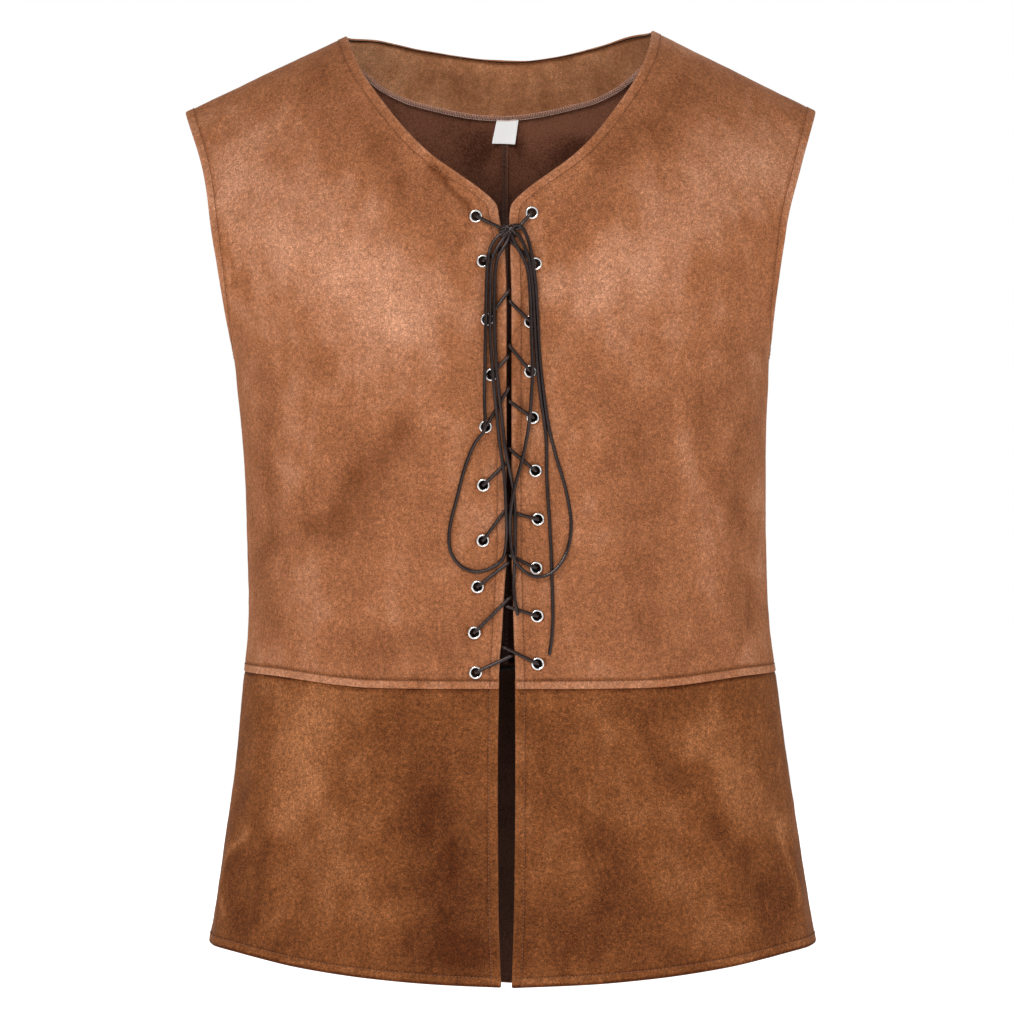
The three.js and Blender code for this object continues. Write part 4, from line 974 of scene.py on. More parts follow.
@dataclass
class Shell:
    """A panel's cloth: an outer and an inner layer with a rounded rim, and holes for eyelets."""

    grid: Grid
    outer: Array
    lining: Lining
    turned: Array
    tones: dict[str, Array]  # named values of the outer layer's points
    inner_tones: dict[str, Array]
    inner_slot: int = 1
    holes: Sequence[Line] = ()

    def build(self) -> MeshData:
        """The shell's mesh, all round."""
        rows, columns = self.grid.shape
        data = MeshData()
        inside = 1 - smoothstep(self.turned, self.lining.turned_depth, self.lining.turned_depth + 0.8)
        thick = self.lining.thickness + self.lining.turned_extra * inside
        normal = self.grid.normal
        lower = self.outer - normal * thick[..., None]
        uv = self.flat_uv()
        facing_out = self.faces_out()
        top = data.add_points(self.outer, uv, **self.tones)
        low = data.add_points(lower, uv, **self.inner_tones)
        dropped, fills = self.cut_holes()
        index = np.arange(rows * columns).reshape(rows, columns)
        cells = [
            (index[i, j], index[i, j + 1], index[i + 1, j + 1], index[i + 1, j])
            for i in range(rows - 1)
            for j in range(columns - 1)
            if not dropped[i, j]
        ]
        show = [
            self.inner_slot if inside[i, j] < 0.5 else 0
            for i in range(rows - 1)
            for j in range(columns - 1)
            if not dropped[i, j]
        ]
        out = [c if facing_out else c[::-1] for c in cells]
        data.add_faces([[top + v for v in c] for c in out], 0)
        for cell, slot in zip(out, show):
            data.add_faces([[low + v for v in cell[::-1]]], slot)
        self.add_rim(data, index, thick, uv, facing_out)
        for seat, loop in fills:
            self.add_hole(data, seat, loop, thick)
        return data

    def flat_uv(self) -> Array:
        """How far along its row and up its column each point lies, in millimetres."""
        across = np.zeros(self.grid.shape)
        steps = np.linalg.norm(np.diff(self.grid.base, axis=1), axis=2)
        across[:, 1:] = np.cumsum(steps, axis=1)
        return np.stack([across, -self.grid.z], axis=-1)

    def faces_out(self) -> bool:
        """True if a cell's corners, taken in order, turn about the outward direction."""
        i, j = self.grid.shape[0] // 2, self.grid.shape[1] // 2
        a = self.outer[i, j + 1] - self.outer[i, j]
        b = self.outer[i + 1, j] - self.outer[i, j]
        return float(np.cross(a, b) @ self.grid.normal[i, j]) > 0

    def add_rim(
        self, data: MeshData, index: Array, thick: Array, uv: Array, facing_out: bool
    ) -> None:
        """Joins the two layers all round with a half-round edge."""
        rows, columns = index.shape
        ring = [(0, j) for j in range(columns)] + [(i, columns - 1) for i in range(1, rows)]
        ring += [(rows - 1, j) for j in range(columns - 2, -1, -1)]
        ring += [(i, 0) for i in range(rows - 2, 0, -1)]
        i, j = np.array(ring).T
        point, normal, half = self.outer[i, j], self.grid.normal[i, j], thick[i, j] / 2
        away = np.zeros_like(point)
        for di, dj, edge in (
            (1, 0, i == 0), (-1, 0, i == rows - 1), (0, 1, j == 0), (0, -1, j == columns - 1),
        ):
            neighbour = self.outer[np.clip(i + di, 0, rows - 1), np.clip(j + dj, 0, columns - 1)]
            away += unit(point - neighbour) * edge[:, None]
        away -= normal * (away * normal).sum(1, keepdims=True)
        away = unit(away)
        loops = [index[i, j]]
        for turn in RIM_TURNS:
            centre = point - normal * half[:, None]
            bulge = normal * (half * math.cos(turn))[:, None] + away * (half * math.sin(turn))[:, None]
            rim = {key: value[i, j] for key, value in self.tones.items()}
            start = data.add_points(centre + bulge, uv[i, j], **rim)
            loops.append(start + np.arange(len(ring)))
        loops.append(index.size + index[i, j])
        faces = []
        for a, b in zip(loops[:-1], loops[1:]):
            for k in range(len(ring)):
                m = (k + 1) % len(ring)
                quad = (a[k], b[k], b[m], a[m])
                faces.append(quad if facing_out else quad[::-1])
        data.add_faces(faces, 0)

    def cut_holes(self) -> tuple[Array, list[tuple[Line, list[int]]]]:
        """Which cells the eyelet holes take away, and the loops of points left round them."""
        rows, columns = self.grid.shape
        dropped = np.zeros((rows - 1, columns - 1), bool)
        fills = []
        for centre, normal in self.holes:
            off = self.outer - centre
            flat = off - (off @ normal)[..., None] * normal
            near = np.linalg.norm(flat, axis=-1) < EYELET_HOLE + HOLE_CLEAR
            near &= np.linalg.norm(off, axis=-1) < 12
            cell = near[:-1, :-1] | near[1:, :-1] | near[:-1, 1:] | near[1:, 1:]
            dropped |= cell
            loop = set()
            for i, j in np.argwhere(cell):
                for a, b in ((i, j), (i, j + 1), (i + 1, j), (i + 1, j + 1)):
                    around = cell[max(a - 1, 0) : a + 1, max(b - 1, 0) : b + 1]
                    if not around.all() or around.size < 4:
                        loop.add(a * columns + b)
            fills.append(((centre, normal), sorted(loop)))
        return dropped, fills

    def add_hole(self, data: MeshData, seat: Line, loop: list[int], thick: Array) -> None:
        """Fills the cut cells round a hole on both layers and joins them by the hole's wall."""
        centre, normal = seat
        across = unit(np.cross(normal, [0.0, 0.0, 1.0]))
        up = np.cross(across, normal)
        flat = self.outer.reshape(-1, 3)
        corners = flat[loop] - centre
        angle = np.arctan2(corners @ up, corners @ across)
        order = np.argsort(angle)
        loop, angle = [loop[k] for k in order], angle[order]
        height = float((corners @ normal).mean())
        turn = -math.pi + (np.arange(HOLE_SIDES) + 0.5) * 2 * math.pi / HOLE_SIDES
        circle = centre + normal * height + EYELET_HOLE * (
            np.outer(np.cos(turn), across) + np.outer(np.sin(turn), up)
        )
        depth = float(np.ravel(thick)[loop].mean())
        mean = {key: np.concatenate(v)[loop].mean() for key, v in data.values.items()}
        near = {key: np.full(HOLE_SIDES, value) for key, value in mean.items()}
        # Painted shadow round the eyelet.
        near["light"] -= EYELET_PAINTED_SHADOW
        where = np.concatenate(data.uv)[loop].mean(axis=0)
        uv = np.repeat(where[None], HOLE_SIDES, axis=0)
        top = data.add_points(circle, uv, **near)
        low = data.add_points(circle - normal * depth, uv, **near)
        triangles = zipped(loop, angle, [top + k for k in range(HOLE_SIDES)], turn)
        sample = np.array([self.point_of(data, v) for v in triangles[0]])
        out = float(np.cross(sample[1] - sample[0], sample[2] - sample[0]) @ normal) > 0
        upper = [t if out else t[::-1] for t in triangles]
        data.add_faces(upper, 0)
        shift = self.grid.x.size
        moved = {v: v + shift for v in loop} | {top + k: low + k for k in range(HOLE_SIDES)}
        data.add_faces([[moved[v] for v in t[::-1]] for t in upper], self.inner_slot)
        wall = []
        for k in range(HOLE_SIDES):
            m = (k + 1) % HOLE_SIDES
            wall.append((top + k, top + m, low + m, low + k))
        data.add_faces(wall, 0)

    @staticmethod
    def point_of(data: MeshData, index: int) -> Array:
        """One point of a mesh that is being built."""
        for part in data.points:
            if index < len(part):
                return part[index]
            index -= len(part)
        raise IndexError(index)


def zipped(
    outer: list[int], outer_angle: Array, inner: list[int], inner_angle: Array
) -> list[tuple[int, int, int]]:
    """Triangles between two loops round one centre, both in order of their angle."""
    outer_at = np.concatenate([outer_angle, [outer_angle[0] + 2 * math.pi]])
    inner_at = np.concatenate([inner_angle, [inner_angle[0] + 2 * math.pi]])
    a = b = 0
    triangles = []
    while a < len(outer) or b < len(inner):
        take_outer = b >= len(inner) or (a < len(outer) and outer_at[a + 1] <= inner_at[b + 1])
        o, n = outer[a % len(outer)], inner[b % len(inner)]
        if take_outer:
            triangles.append((o, outer[(a + 1) % len(outer)], n))
            a += 1
        else:
            triangles.append((o, inner[(b + 1) % len(inner)], n))
            b += 1
    return triangles


# ---- Finishes ----

STITCH_LENGTH = 2.35


class ShaderTree:
    """A node tree with short ways to add and join nodes."""

    def __init__(self, tree: bpy.types.NodeTree) -> None:
        """Takes the tree to build in."""
        self.tree = tree

    def node(self, kind: str, **settings: object) -> Node:
        """Adds a node and sets its properties."""
        made = self.tree.nodes.new(kind)
        for name, value in settings.items():
            setattr(made, name, value)
        return made

    def feed(self, socket: Socket, value: object) -> None:
        """Links a socket to another, or gives it a plain value."""
        if isinstance(value, Socket):
            self.tree.links.new(value, socket)
        elif isinstance(value, tuple) and socket.type == "RGBA":
            socket.default_value = (*value, 1.0)
        else:
            socket.default_value = value

    def fill(self, node: Node, **values: object) -> None:
        """Feeds a node's inputs by their names, in which _ stands for a space."""
        for name, value in values.items():
            self.feed(node.inputs[name.replace("_", " ")], value)

    def math(self, operation: str, *values: object) -> Socket:
        """A Math node over values or sockets."""
        made = self.node("ShaderNodeMath", operation=operation)
        for socket, value in zip(made.inputs, values):
            self.feed(socket, value)
        return made.outputs[0]

    def times(self, a: object, b: object) -> Socket:
        """A product."""
        return self.math("MULTIPLY", a, b)

    def total(self, start: object, *terms: tuple[object, object]) -> Socket:
        """A starting value and each term's value times its weight, added up."""
        for value, weight in terms:
            start = self.math("MULTIPLY_ADD", value, weight, start)
        return start

    def mix(self, factor: object, a: object, b: object, blend: str = "MIX") -> Socket:
        """A colour mix."""
        made = self.node("ShaderNodeMix", data_type="RGBA", blend_type=blend, clamp_factor=True)
        for name, value in (("Factor_Float", factor), ("A_Color", a), ("B_Color", b)):
            self.feed(next(s for s in made.inputs if s.identifier == name), value)
        return next(s for s in made.outputs if s.identifier == "Result_Color")

    def noise(self, where: Socket, scale: float, detail: float, rough: float = 0.5) -> Socket:
        """Noise centred on zero, from about -0.5 to 0.5."""
        made = self.node("ShaderNodeTexNoise")
        self.fill(made, Vector=where, Scale=scale, Detail=detail, Roughness=rough)
        return self.math("SUBTRACT", made.outputs[0], 0.5)

    def scaled(self, where: Socket, height: float) -> Socket:
        """Coordinates with their height scaled, which draws a pattern out or presses it flat."""
        made = self.node("ShaderNodeMapping")
        self.fill(made, Vector=where, Scale=(1.0, 1.0, height))
        return made.outputs[0]

    def coordinates(self, kind: str = "Object") -> Socket:
        """Texture coordinates of one kind."""
        return self.node("ShaderNodeTexCoord").outputs[kind]

    def flat(self) -> tuple[Socket, Socket]:
        """Where a point lies on the piece's UV map: across and along, in metres."""
        parts = self.node("ShaderNodeSeparateXYZ")
        self.feed(parts.inputs[0], self.coordinates("UV"))
        return parts.outputs[0], parts.outputs[1]

    def value(self, name: str) -> Socket:
        """A named value of the piece's points."""
        return self.node("ShaderNodeAttribute", attribute_name=name).outputs["Fac"]

    def bump(self, shader: Node, height: Socket, strength: float, deep: float) -> None:
        """Feeds a shader's normal from a height, `deep` metres from its lowest to its highest."""
        made = self.node("ShaderNodeBump")
        self.fill(made, Strength=strength, Distance=deep, Height=height)
        self.feed(shader.inputs["Normal"], made.outputs["Normal"])


def new_material(name: str) -> tuple[Material, ShaderTree, Node]:
    """A material with its tree and its shader."""
    material = bpy.data.materials.new(name)
    material.use_nodes = True
    return material, ShaderTree(material.node_tree), material.node_tree.nodes["Principled BSDF"]


class NapGroup:
    """The node group that every suede finish shares: blotches, streaks and grain, over the brushed pile and
    the painted light and shade of the point values.
    """

    SOCKETS = (
        ("INPUT", "Color", ("Deep", "Body", "Light")), ("INPUT", "Float", ("Brush", "Patches", "Grain")),
        ("OUTPUT", "Color", ("Color",)), ("OUTPUT", "Float", ("Height", "Roughness")),
    )

    def __init__(self) -> None:
        """Builds the group."""
        self.group = bpy.data.node_groups.new("suede_nap", "ShaderNodeTree")
        for in_out, kind, names in self.SOCKETS:
            for name in names:
                self.group.interface.new_socket(name=name, in_out=in_out, socket_type=f"NodeSocket{kind}")
        t = ShaderTree(self.group)
        given = t.node("NodeGroupInput").outputs
        where, blotchy = t.coordinates(), given["Patches"]
        drawn = t.scaled(where, 0.75)
        zones, patches = t.noise(drawn, 11, 2.5), t.noise(drawn, 48, 3.0)
        smears = t.noise(t.scaled(where, 0.35), 110, 2.0, 0.6)
        flecks, fibres = t.noise(where, 380, 1.0, 0.6), t.noise(where, 1050, 1.0, 0.7)
        # The point values bring in the brushed pile with painted light and shade, and the painted light and
        # shade of edges, seams and hems.
        tone = t.total(
            t.times(t.value("nap"), given["Brush"]), (zones, t.times(blotchy, 0.75)),
            (patches, blotchy), (smears, t.times(blotchy, 0.4)), (t.value("light"), 0.34),
        )
        tone = t.math("ADD", tone, 0.5)
        colour = t.mix(t.math("MINIMUM", t.times(tone, 2.0), 1.0), given["Deep"], given["Body"])
        colour = t.mix(t.math("MAXIMUM", t.total(-1.0, (tone, 2.0)), 0.0), colour, given["Light"])
        grain = t.times(t.total(t.times(fibres, 2.4), (flecks, 1.25)), given["Grain"])
        t.fill(
            t.node("NodeGroupOutput"), Color=t.mix(1.0, colour, t.math("EXPONENT", grain), "MULTIPLY"),
            Height=t.total(t.times(fibres, 0.5), (flecks, 0.6), (patches, 0.5)),
            Roughness=t.total(0.86, (flecks, 0.2)),
        )


@dataclass(frozen=True)
class SuedeFinish:
    """Suede-look cloth: three tones of its pile, and how strongly its brushed pile with painted light and
    shade, its blotches and its grain show.
    """

    name: str
    deep: Colour
    body: Colour
    light: Colour
    brush: float
    patches: float
    grain: float

    def material(self, nap: NapGroup) -> Material:
        """The finish as a material."""
        material, t, shader = new_material(self.name)
        group = t.node("ShaderNodeGroup", node_tree=nap.group)
        t.fill(
            group, Deep=self.deep, Body=self.body, Light=self.light, Brush=self.brush,
            Patches=self.patches, Grain=self.grain,
        )
        t.fill(
            shader, Base_Color=group.outputs["Color"], Roughness=group.outputs["Roughness"],
            Sheen_Weight=0.06, Sheen_Roughness=0.45, Sheen_Tint=(1.0, 0.6, 0.36),
            Specular_IOR_Level=0.08,
        )
        t.bump(shader, group.outputs["Height"], 0.28, 0.0006)
        return material


@dataclass(frozen=True)
class KnitFinish:
    """The wrong side of the cloth: a fine dark knit with faint ribs and felted blotches, darkened by painted
    shade deep inside the vest.
    """

    name: str
    deep: Colour
    light: Colour
    ribs: float = 1150.0  # to the metre
    dusk: float = 0.78  # how much darker the painted shade makes it in the depth of the vest

    def material(self) -> Material:
        """The finish as a material."""
        material, t, shader = new_material(self.name)
        where, (across, along) = t.coordinates(), t.flat()
        felt, fuzz = t.noise(where, 28, 4, 0.6), t.noise(where, 900, 1, 0.7)
        wales = t.math("SINE", t.times(across, self.ribs * 2 * math.pi))
        weave = t.times(wales, t.math("SINE", t.times(along, self.ribs * 1.3 * math.pi)))
        # The stroke values add painted light and shade under the facing.
        tone = t.total(0.5, (felt, 1.1), (t.value("nap"), 0.6), (fuzz, 1.7), (weave, 0.14))
        # Painted shade: darker in the depth of the vest.
        shade = t.total(1.0, (t.value("light"), self.dusk))
        t.fill(
            shader, Base_Color=t.mix(1.0, t.mix(tone, self.deep, self.light), shade, "MULTIPLY"),
            Roughness=0.95, Sheen_Weight=0.08, Specular_IOR_Level=0.15,
        )
        t.bump(shader, t.total(weave, (fuzz, 0.6)), 0.25, 0.0003)
        return material


@dataclass(frozen=True)
class ThreadFinish:
    """Spun thread: a colour with fine variation and a twist in its bump."""

    name: str
    dark: Colour
    light: Colour
    sunk: float = 0.0  # length of a stitch whose ends sink into the cloth and darken with painted shadow, in millimetres
    hole: Colour = (0.012, 0.004, 0.002)

    def material(self) -> Material:
        """The finish as a material."""
        material, t, shader = new_material(self.name)
        where = t.coordinates()
        colour = t.mix(t.total(0.5, (t.noise(where, 420, 2, 0.6), 1.4)), self.dark, self.light)
        if self.sunk:
            off = t.total(-1.0, (t.flat()[1], 2 / (self.sunk * MM)))
            # Painted shadow where the stitch's ends sink in.
            colour = t.mix(t.math("POWER", t.math("ABSOLUTE", off), 5.0), colour, self.hole)
        t.fill(shader, Base_Color=colour, Roughness=0.8, Specular_IOR_Level=0.2)
        t.bump(shader, t.noise(where, 2600, 1), 0.3, 0.0001)
        return material


@dataclass(frozen=True)
class LaceFinish:
    """Waxed round lace: a fine braid that runs round the cord, and a soft sheen."""

    name: str
    dark: Colour
    light: Colour
    pitch: float = 2.1  # millimetres of one turn of the braid

    def material(self) -> Material:
        """The finish as a material."""
        material, t, shader = new_material(self.name)
        across, along = t.flat()
        round_it = t.times(across, 4 / (LACE * MM))
        on = t.times(along, 2 * math.pi / (self.pitch * MM))
        strands = [t.math("SINE", t.math(way, round_it, on)) for way in ("ADD", "SUBTRACT")]
        braid = t.math("MAXIMUM", *strands)
        wear = t.noise(t.coordinates(), 130, 3, 0.6)
        colour = t.mix(t.total(0.36, (braid, 0.16), (wear, 1.6)), self.dark, self.light)
        # Painted shade: the lace is darker and duller where it runs behind the cloth.
        painted_shade_factor = t.total(1.0, (t.value("light"), 0.92))
        t.fill(
            shader, Base_Color=t.mix(1.0, colour, painted_shade_factor, "MULTIPLY"),
            Roughness=t.total(0.2, (wear, 0.3)), Specular_IOR_Level=t.times(painted_shade_factor, 0.55),
            Specular_Tint=(1.0, 0.82, 0.8),
        )
        t.bump(shader, braid, 0.12, 0.0002)
        return material


@dataclass(frozen=True)
class NickelFinish:
    """Bright nickel plate, a little scuffed."""

    name: str
    colour: Colour
    scuffed: Colour
    roughness: float

    def material(self) -> Material:
        """The finish as a material."""
        material, t, shader = new_material(self.name)
        where = t.coordinates()
        dull = t.noise(where, 220, 2)
        t.fill(
            shader, Base_Color=t.mix(t.total(0.05, (dull, 0.4)), self.colour, self.scuffed),
            Roughness=t.total(self.roughness, (dull, 0.25)), Metallic=1.0,
        )
        t.bump(shader, t.noise(t.scaled(where, 3.0), 900, 3, 0.6), 0.06, 0.0001)
        return material


@dataclass(frozen=True)
class TapeFinish:
    """White woven label tape. Its slight emission is painted light that brightens it in the shade of the
    neck.
    """

    name: str
    colour: Colour
    shaded: Colour
    glow: float = 0.3
    warp: float = 12000.0  # radians to the metre
    weft: float = 9000.0

    def material(self) -> Material:
        """The finish as a material."""
        material, t, shader = new_material(self.name)
        across, along = t.flat()
        warp = t.math("SINE", t.times(across, self.warp))
        weave = t.times(warp, t.math("SINE", t.times(along, self.weft)))
        shade = t.total(0.05, (t.noise(t.coordinates(), 300, 2), 0.2))
        t.fill(
            shader, Base_Color=t.mix(shade, self.colour, self.shaded), Emission_Color=self.colour,
            Emission_Strength=self.glow, Roughness=0.55, Sheen_Weight=0.1,
        )
        t.bump(shader, weave, 0.2, 0.0001)
        return material


class Finishes:
    """Every finish on the vest, as materials."""

    def __init__(self) -> None:
        """Makes the materials."""
        nap = NapGroup()
        self.bodice = SuedeFinish(
            "bodice_suede", (0.17, 0.053, 0.018), (0.338, 0.126, 0.054), (0.55, 0.262, 0.152),
            0.44, 0.62, 0.78,
        ).material(nap)
        # The skirt's suede is the bodice's, painted darker: the shade of its pile brushed downwards, away
        # from the light.
        self.skirt = SuedeFinish(
            "skirt_suede", (0.086, 0.0225, 0.006), (0.204, 0.0665, 0.0205), (0.36, 0.138, 0.054),
            0.46, 0.7, 0.98,
        ).material(nap)
        # The facing's suede is the bodice's, painted lighter: painted light that lifts it in the shade
        # inside the neck.
        self.facing = SuedeFinish(
            "facing_suede", (0.21, 0.075, 0.029), (0.47, 0.195, 0.087), (0.68, 0.33, 0.165),
            0.25, 0.9, 0.6,
        ).material(nap)
        self.topstitch = ThreadFinish(
            "topstitch_thread", (0.17, 0.06, 0.025), (0.33, 0.135, 0.062), sunk=STITCH_LENGTH
        ).material()
        self.wrong_side, self.seam_thread, self.overlock, self.lace, self.nickel, self.tape = (
            finish.material() for finish in (
                KnitFinish("cloth_wrong_side", (0.078, 0.023, 0.01), (0.29, 0.112, 0.062)),
                ThreadFinish("seam_overlock_thread", (0.06, 0.028, 0.02), (0.22, 0.12, 0.095)),
                ThreadFinish("overlock_thread", (0.55, 0.3, 0.22), (0.95, 0.66, 0.56)),
                LaceFinish("waxed_lace", (0.003, 0.0018, 0.0014), (0.02, 0.011, 0.009)),
                NickelFinish("eyelet_nickel", (0.95, 0.94, 0.92), (0.52, 0.5, 0.47), 0.22),
                TapeFinish("label_tape", (0.95, 0.945, 0.93), (0.6, 0.6, 0.59)),
            )
        )


# ---- Things set along a line, by Geometry Nodes ----


class Places(NamedTuple):
    """Where repeated things stand: points, the way they run and the way they face."""

    points: Array
    along: Array
    out: Array


def places_on(line: Array, out: Array, pitch: float, first: float = 0.5) -> Places:
    """Evenly spaced places along a line.

    Args:
        line: the line's points, in millimetres.
        out: the outward direction at each of them.
        pitch: distance from one place to the next.
        first: share of the pitch at which the first one stands.

    Returns:
        The places.
    """
    run = run_of(line)
    count = max(int(run[-1] / pitch), 1)
    step = run[-1] / count
    at = (np.arange(count) + first) * step

    def read(values: Array, where: Array) -> Array:
        return np.stack([np.interp(where, run, values[:, k]) for k in range(3)], axis=1)

    ahead = read(line, np.minimum(at + step / 2, run[-1])) - read(line, np.maximum(at - step / 2, 0))
    return Places(read(line, at), unit(ahead), unit(read(out, at)))


def joined(parts: Sequence[Places]) -> Places:
    """Several sets of places as one."""
    return Places(*(np.concatenate(values) for values in zip(*parts)))


class RepeatTree:
    """The Geometry Nodes tree that sets copies of a small piece on points and makes them real."""

    NAME = "repeat_on_places"

    def __init__(self) -> None:
        """Builds the tree."""
        self.tree = bpy.data.node_groups.new(self.NAME, "GeometryNodeTree")
        sockets = {
            "Places": "Geometry", "Piece": "Object", "Finish": "Material", "Size": "Float",
            "Size Spread": "Float", "Turn Spread": "Float", "Seed": "Int",
        }
        for name, kind in sockets.items():
            self.tree.interface.new_socket(name=name, in_out="INPUT", socket_type=f"NodeSocket{kind}")
        self.tree.interface.new_socket(
            name="Geometry", in_out="OUTPUT", socket_type="NodeSocketGeometry"
        )
        t = ShaderTree(self.tree)
        given = t.node("NodeGroupInput").outputs
        axes = t.node("FunctionNodeAxesToRotation", primary_axis="Z", secondary_axis="X")
        for name, socket in (("out", "Primary Axis"), ("along", "Secondary Axis")):
            read = t.node("GeometryNodeInputNamedAttribute", data_type="FLOAT_VECTOR")
            read.inputs["Name"].default_value = name
            t.feed(axes.inputs[socket], read.outputs["Attribute"])
        turn = self.spread(t, given["Turn Spread"], given["Seed"])
        spin = t.node("FunctionNodeAxisAngleToRotation")
        spin.inputs["Axis"].default_value = (0.0, 0.0, 1.0)
        t.feed(spin.inputs["Angle"], turn)
        rotate = t.node("FunctionNodeRotateRotation", rotation_space="LOCAL")
        t.feed(rotate.inputs["Rotation"], axes.outputs[0])
        t.feed(rotate.inputs["Rotate By"], spin.outputs[0])
        size = t.math("ADD", given["Size"], self.spread(t, given["Size Spread"], given["Seed"]))
        source = t.node("GeometryNodeObjectInfo", transform_space="ORIGINAL")
        t.feed(source.inputs["Object"], given["Piece"])
        copies = t.node("GeometryNodeInstanceOnPoints")
        for name, value in (
            ("Points", given["Places"]), ("Instance", source.outputs["Geometry"]),
            ("Rotation", rotate.outputs[0]), ("Scale", size),
        ):
            t.feed(copies.inputs[name], value)
        real = t.node("GeometryNodeRealizeInstances")
        t.feed(real.inputs[0], copies.outputs[0])
        paint = t.node("GeometryNodeSetMaterial")
        t.feed(paint.inputs["Geometry"], real.outputs[0])
        t.feed(paint.inputs["Material"], given["Finish"])
        t.feed(t.node("NodeGroupOutput").inputs[0], paint.outputs[0])

    @staticmethod
    def spread(t: ShaderTree, reach: object, seed: object) -> Socket:
        """A random value from -reach to reach for each point."""
        made = t.node("FunctionNodeRandomValue", data_type="FLOAT")
        low = next(s for s in made.inputs if s.identifier == "Min_001")
        high = next(s for s in made.inputs if s.identifier == "Max_001")
        t.feed(low, t.math("MULTIPLY", reach, -1.0))
        t.feed(high, reach)
        t.feed(made.inputs["Seed"], seed)
        return next(s for s in made.outputs if s.identifier == "Value_001")

    def apply(
        self, name: str, places: Places, piece: MeshData, finish: Material,
        size_spread: float = 0.0, turn_spread: float = 0.0, seed: int = 1,
    ) -> Object:
        """Makes one plain mesh of all the copies.

        Args:
            name: the new piece's name.
            places: where the copies stand, in millimetres.
            piece: the small piece, with its z facing out and its x along the line.
            finish: the material of the copies.
            size_spread: how far a copy's size strays from 1.
            turn_spread: how far a copy turns about its outward direction, in radians.
            seed: of the random sizes and turns.

        Returns:
            The object, a plain mesh.
        """
        template = piece.object(f"{name}_piece", [finish])
        mesh = bpy.data.meshes.new(name)
        mesh.from_pydata((places.points * MM).tolist(), [], [])
        for key, values in (("along", places.along), ("out", places.out)):
            layer = mesh.attributes.new(key, "FLOAT_VECTOR", "POINT")
            layer.data.foreach_set("vector", values.astype(np.float32).ravel())
        row = bpy.data.objects.new(name, mesh)
        bpy.context.scene.collection.objects.link(row)
        modifier = row.modifiers.new("repeat", "NODES")
        modifier.node_group = self.tree
        given = {
            "Piece": template, "Finish": finish, "Size": 1.0, "Size Spread": size_spread,
            "Turn Spread": turn_spread, "Seed": seed,
        }
        for item in self.tree.interface.items_tree:
            if item.item_type == "SOCKET" and item.in_out == "INPUT" and item.name in given:
                modifier[item.identifier] = given[item.name]
        graph = bpy.context.evaluated_depsgraph_get()
        made = bpy.data.meshes.new_from_object(row.evaluated_get(graph), depsgraph=graph)
        row.modifiers.clear()
        row.data = made
        made.name = name
        for key in ("along", "out"):
            if key in made.attributes:
                made.attributes.remove(made.attributes[key])
        bpy.data.objects.remove(template)
        return row


def stitch_piece(length: float = STITCH_LENGTH, radius: float = 0.3) -> MeshData:
    """One topstitch: a short thread whose ends sink into the cloth."""
    data = MeshData()
    x = np.linspace(-length / 2, length / 2, 7)
    z = 0.1 - 0.36 * np.abs(2 * x / length) ** 4
    add_tube(data, np.stack([x, 0 * x, z], axis=1), radius, 6)
    return data


FACING_LOCK = 3.5  # width of the overlocking on the facing's edge
SEAM_LOCK = 3.4  # and on the centre back seam allowance

# The threads of one overlock turn: along it from 0 to 1, across it from -1 to 1, and up in mm.
OVERLOCK = (
    ((0.1, -1, 0.1), (0.5, -1, 0.3), (0.9, -1, 0.1)),
    ((0, -1, 0.12), (0.18, -0.4, 0.34), (0.36, 0.55, 0.34), (0.5, 1, 0.02), (0.5, 1.05, -0.5)),
    ((0.55, 1, 0.06), (0.72, 0.5, 0.3), (0.88, -0.45, 0.34), (1, -1, 0.12)),
    ((-0.05, 0.96, 0.05), (0.3, 1.08, 0.14), (0.75, 0.92, 0.2), (1.05, 0.98, 0.05)),
)


def overlock_piece(pitch: float, width: float, radius: float = 0.2) -> MeshData:
    """One turn of an overlocked edge: the needle stitch and the looper threads over the edge."""
    data = MeshData()
    for thread in OVERLOCK:
        points = np.array(thread) * (pitch, width / 2, 1) - (pitch / 2, 0, 0)
        add_tube(data, through(points, 2), radius, 5)
    return data


# ---- Pieces of cloth ----


def settle(piece: Object, slot: str, *nodes: str) -> None:
    """Rides a finished piece on the vest, in place of the solids that it stands for."""
    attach(piece, "root")
    if nodes:
        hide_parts(*nodes)
    LOG.info("%s: %d faces", piece.name, len(piece.data.polygons))


def nap_at(face: Face, x: Array, z: Array, strokes: Sequence[Stroke] = PILE_AND_PAINTED_SHADE) -> Array:
    """How the brushed pile and the painted light and shade tone the cloth at (x, z), from -1, dark, to 1,
    light.
    """
    x = x + NAP_WANDER * mottle(x, z, 42, 3.1)
    z = z + NAP_WANDER * mottle(x, z, 42, 8.7)
    tone = np.zeros(np.shape(x))
    for stroke in strokes:
        if stroke.face is face:
            long = stroke.dx**2 + stroke.dz**2
            t = np.clip(((x - stroke.x) * stroke.dx + (z - stroke.z) * stroke.dz) / long, 0, 1)
            off = np.hypot(x - stroke.x - t * stroke.dx, z - stroke.z - t * stroke.dz)
            tone += stroke.tone * bell(off, stroke.width * 1.15)
    return np.clip(tone, -1, 1)


def dusk(z: Array) -> Array:
    """How dark the painted shade makes the inside of the vest at a height: 0 at the neck, -1 in its depth.
    """
    return -smoothstep(-z, *INSIDE_SHADE_DEPTHS)


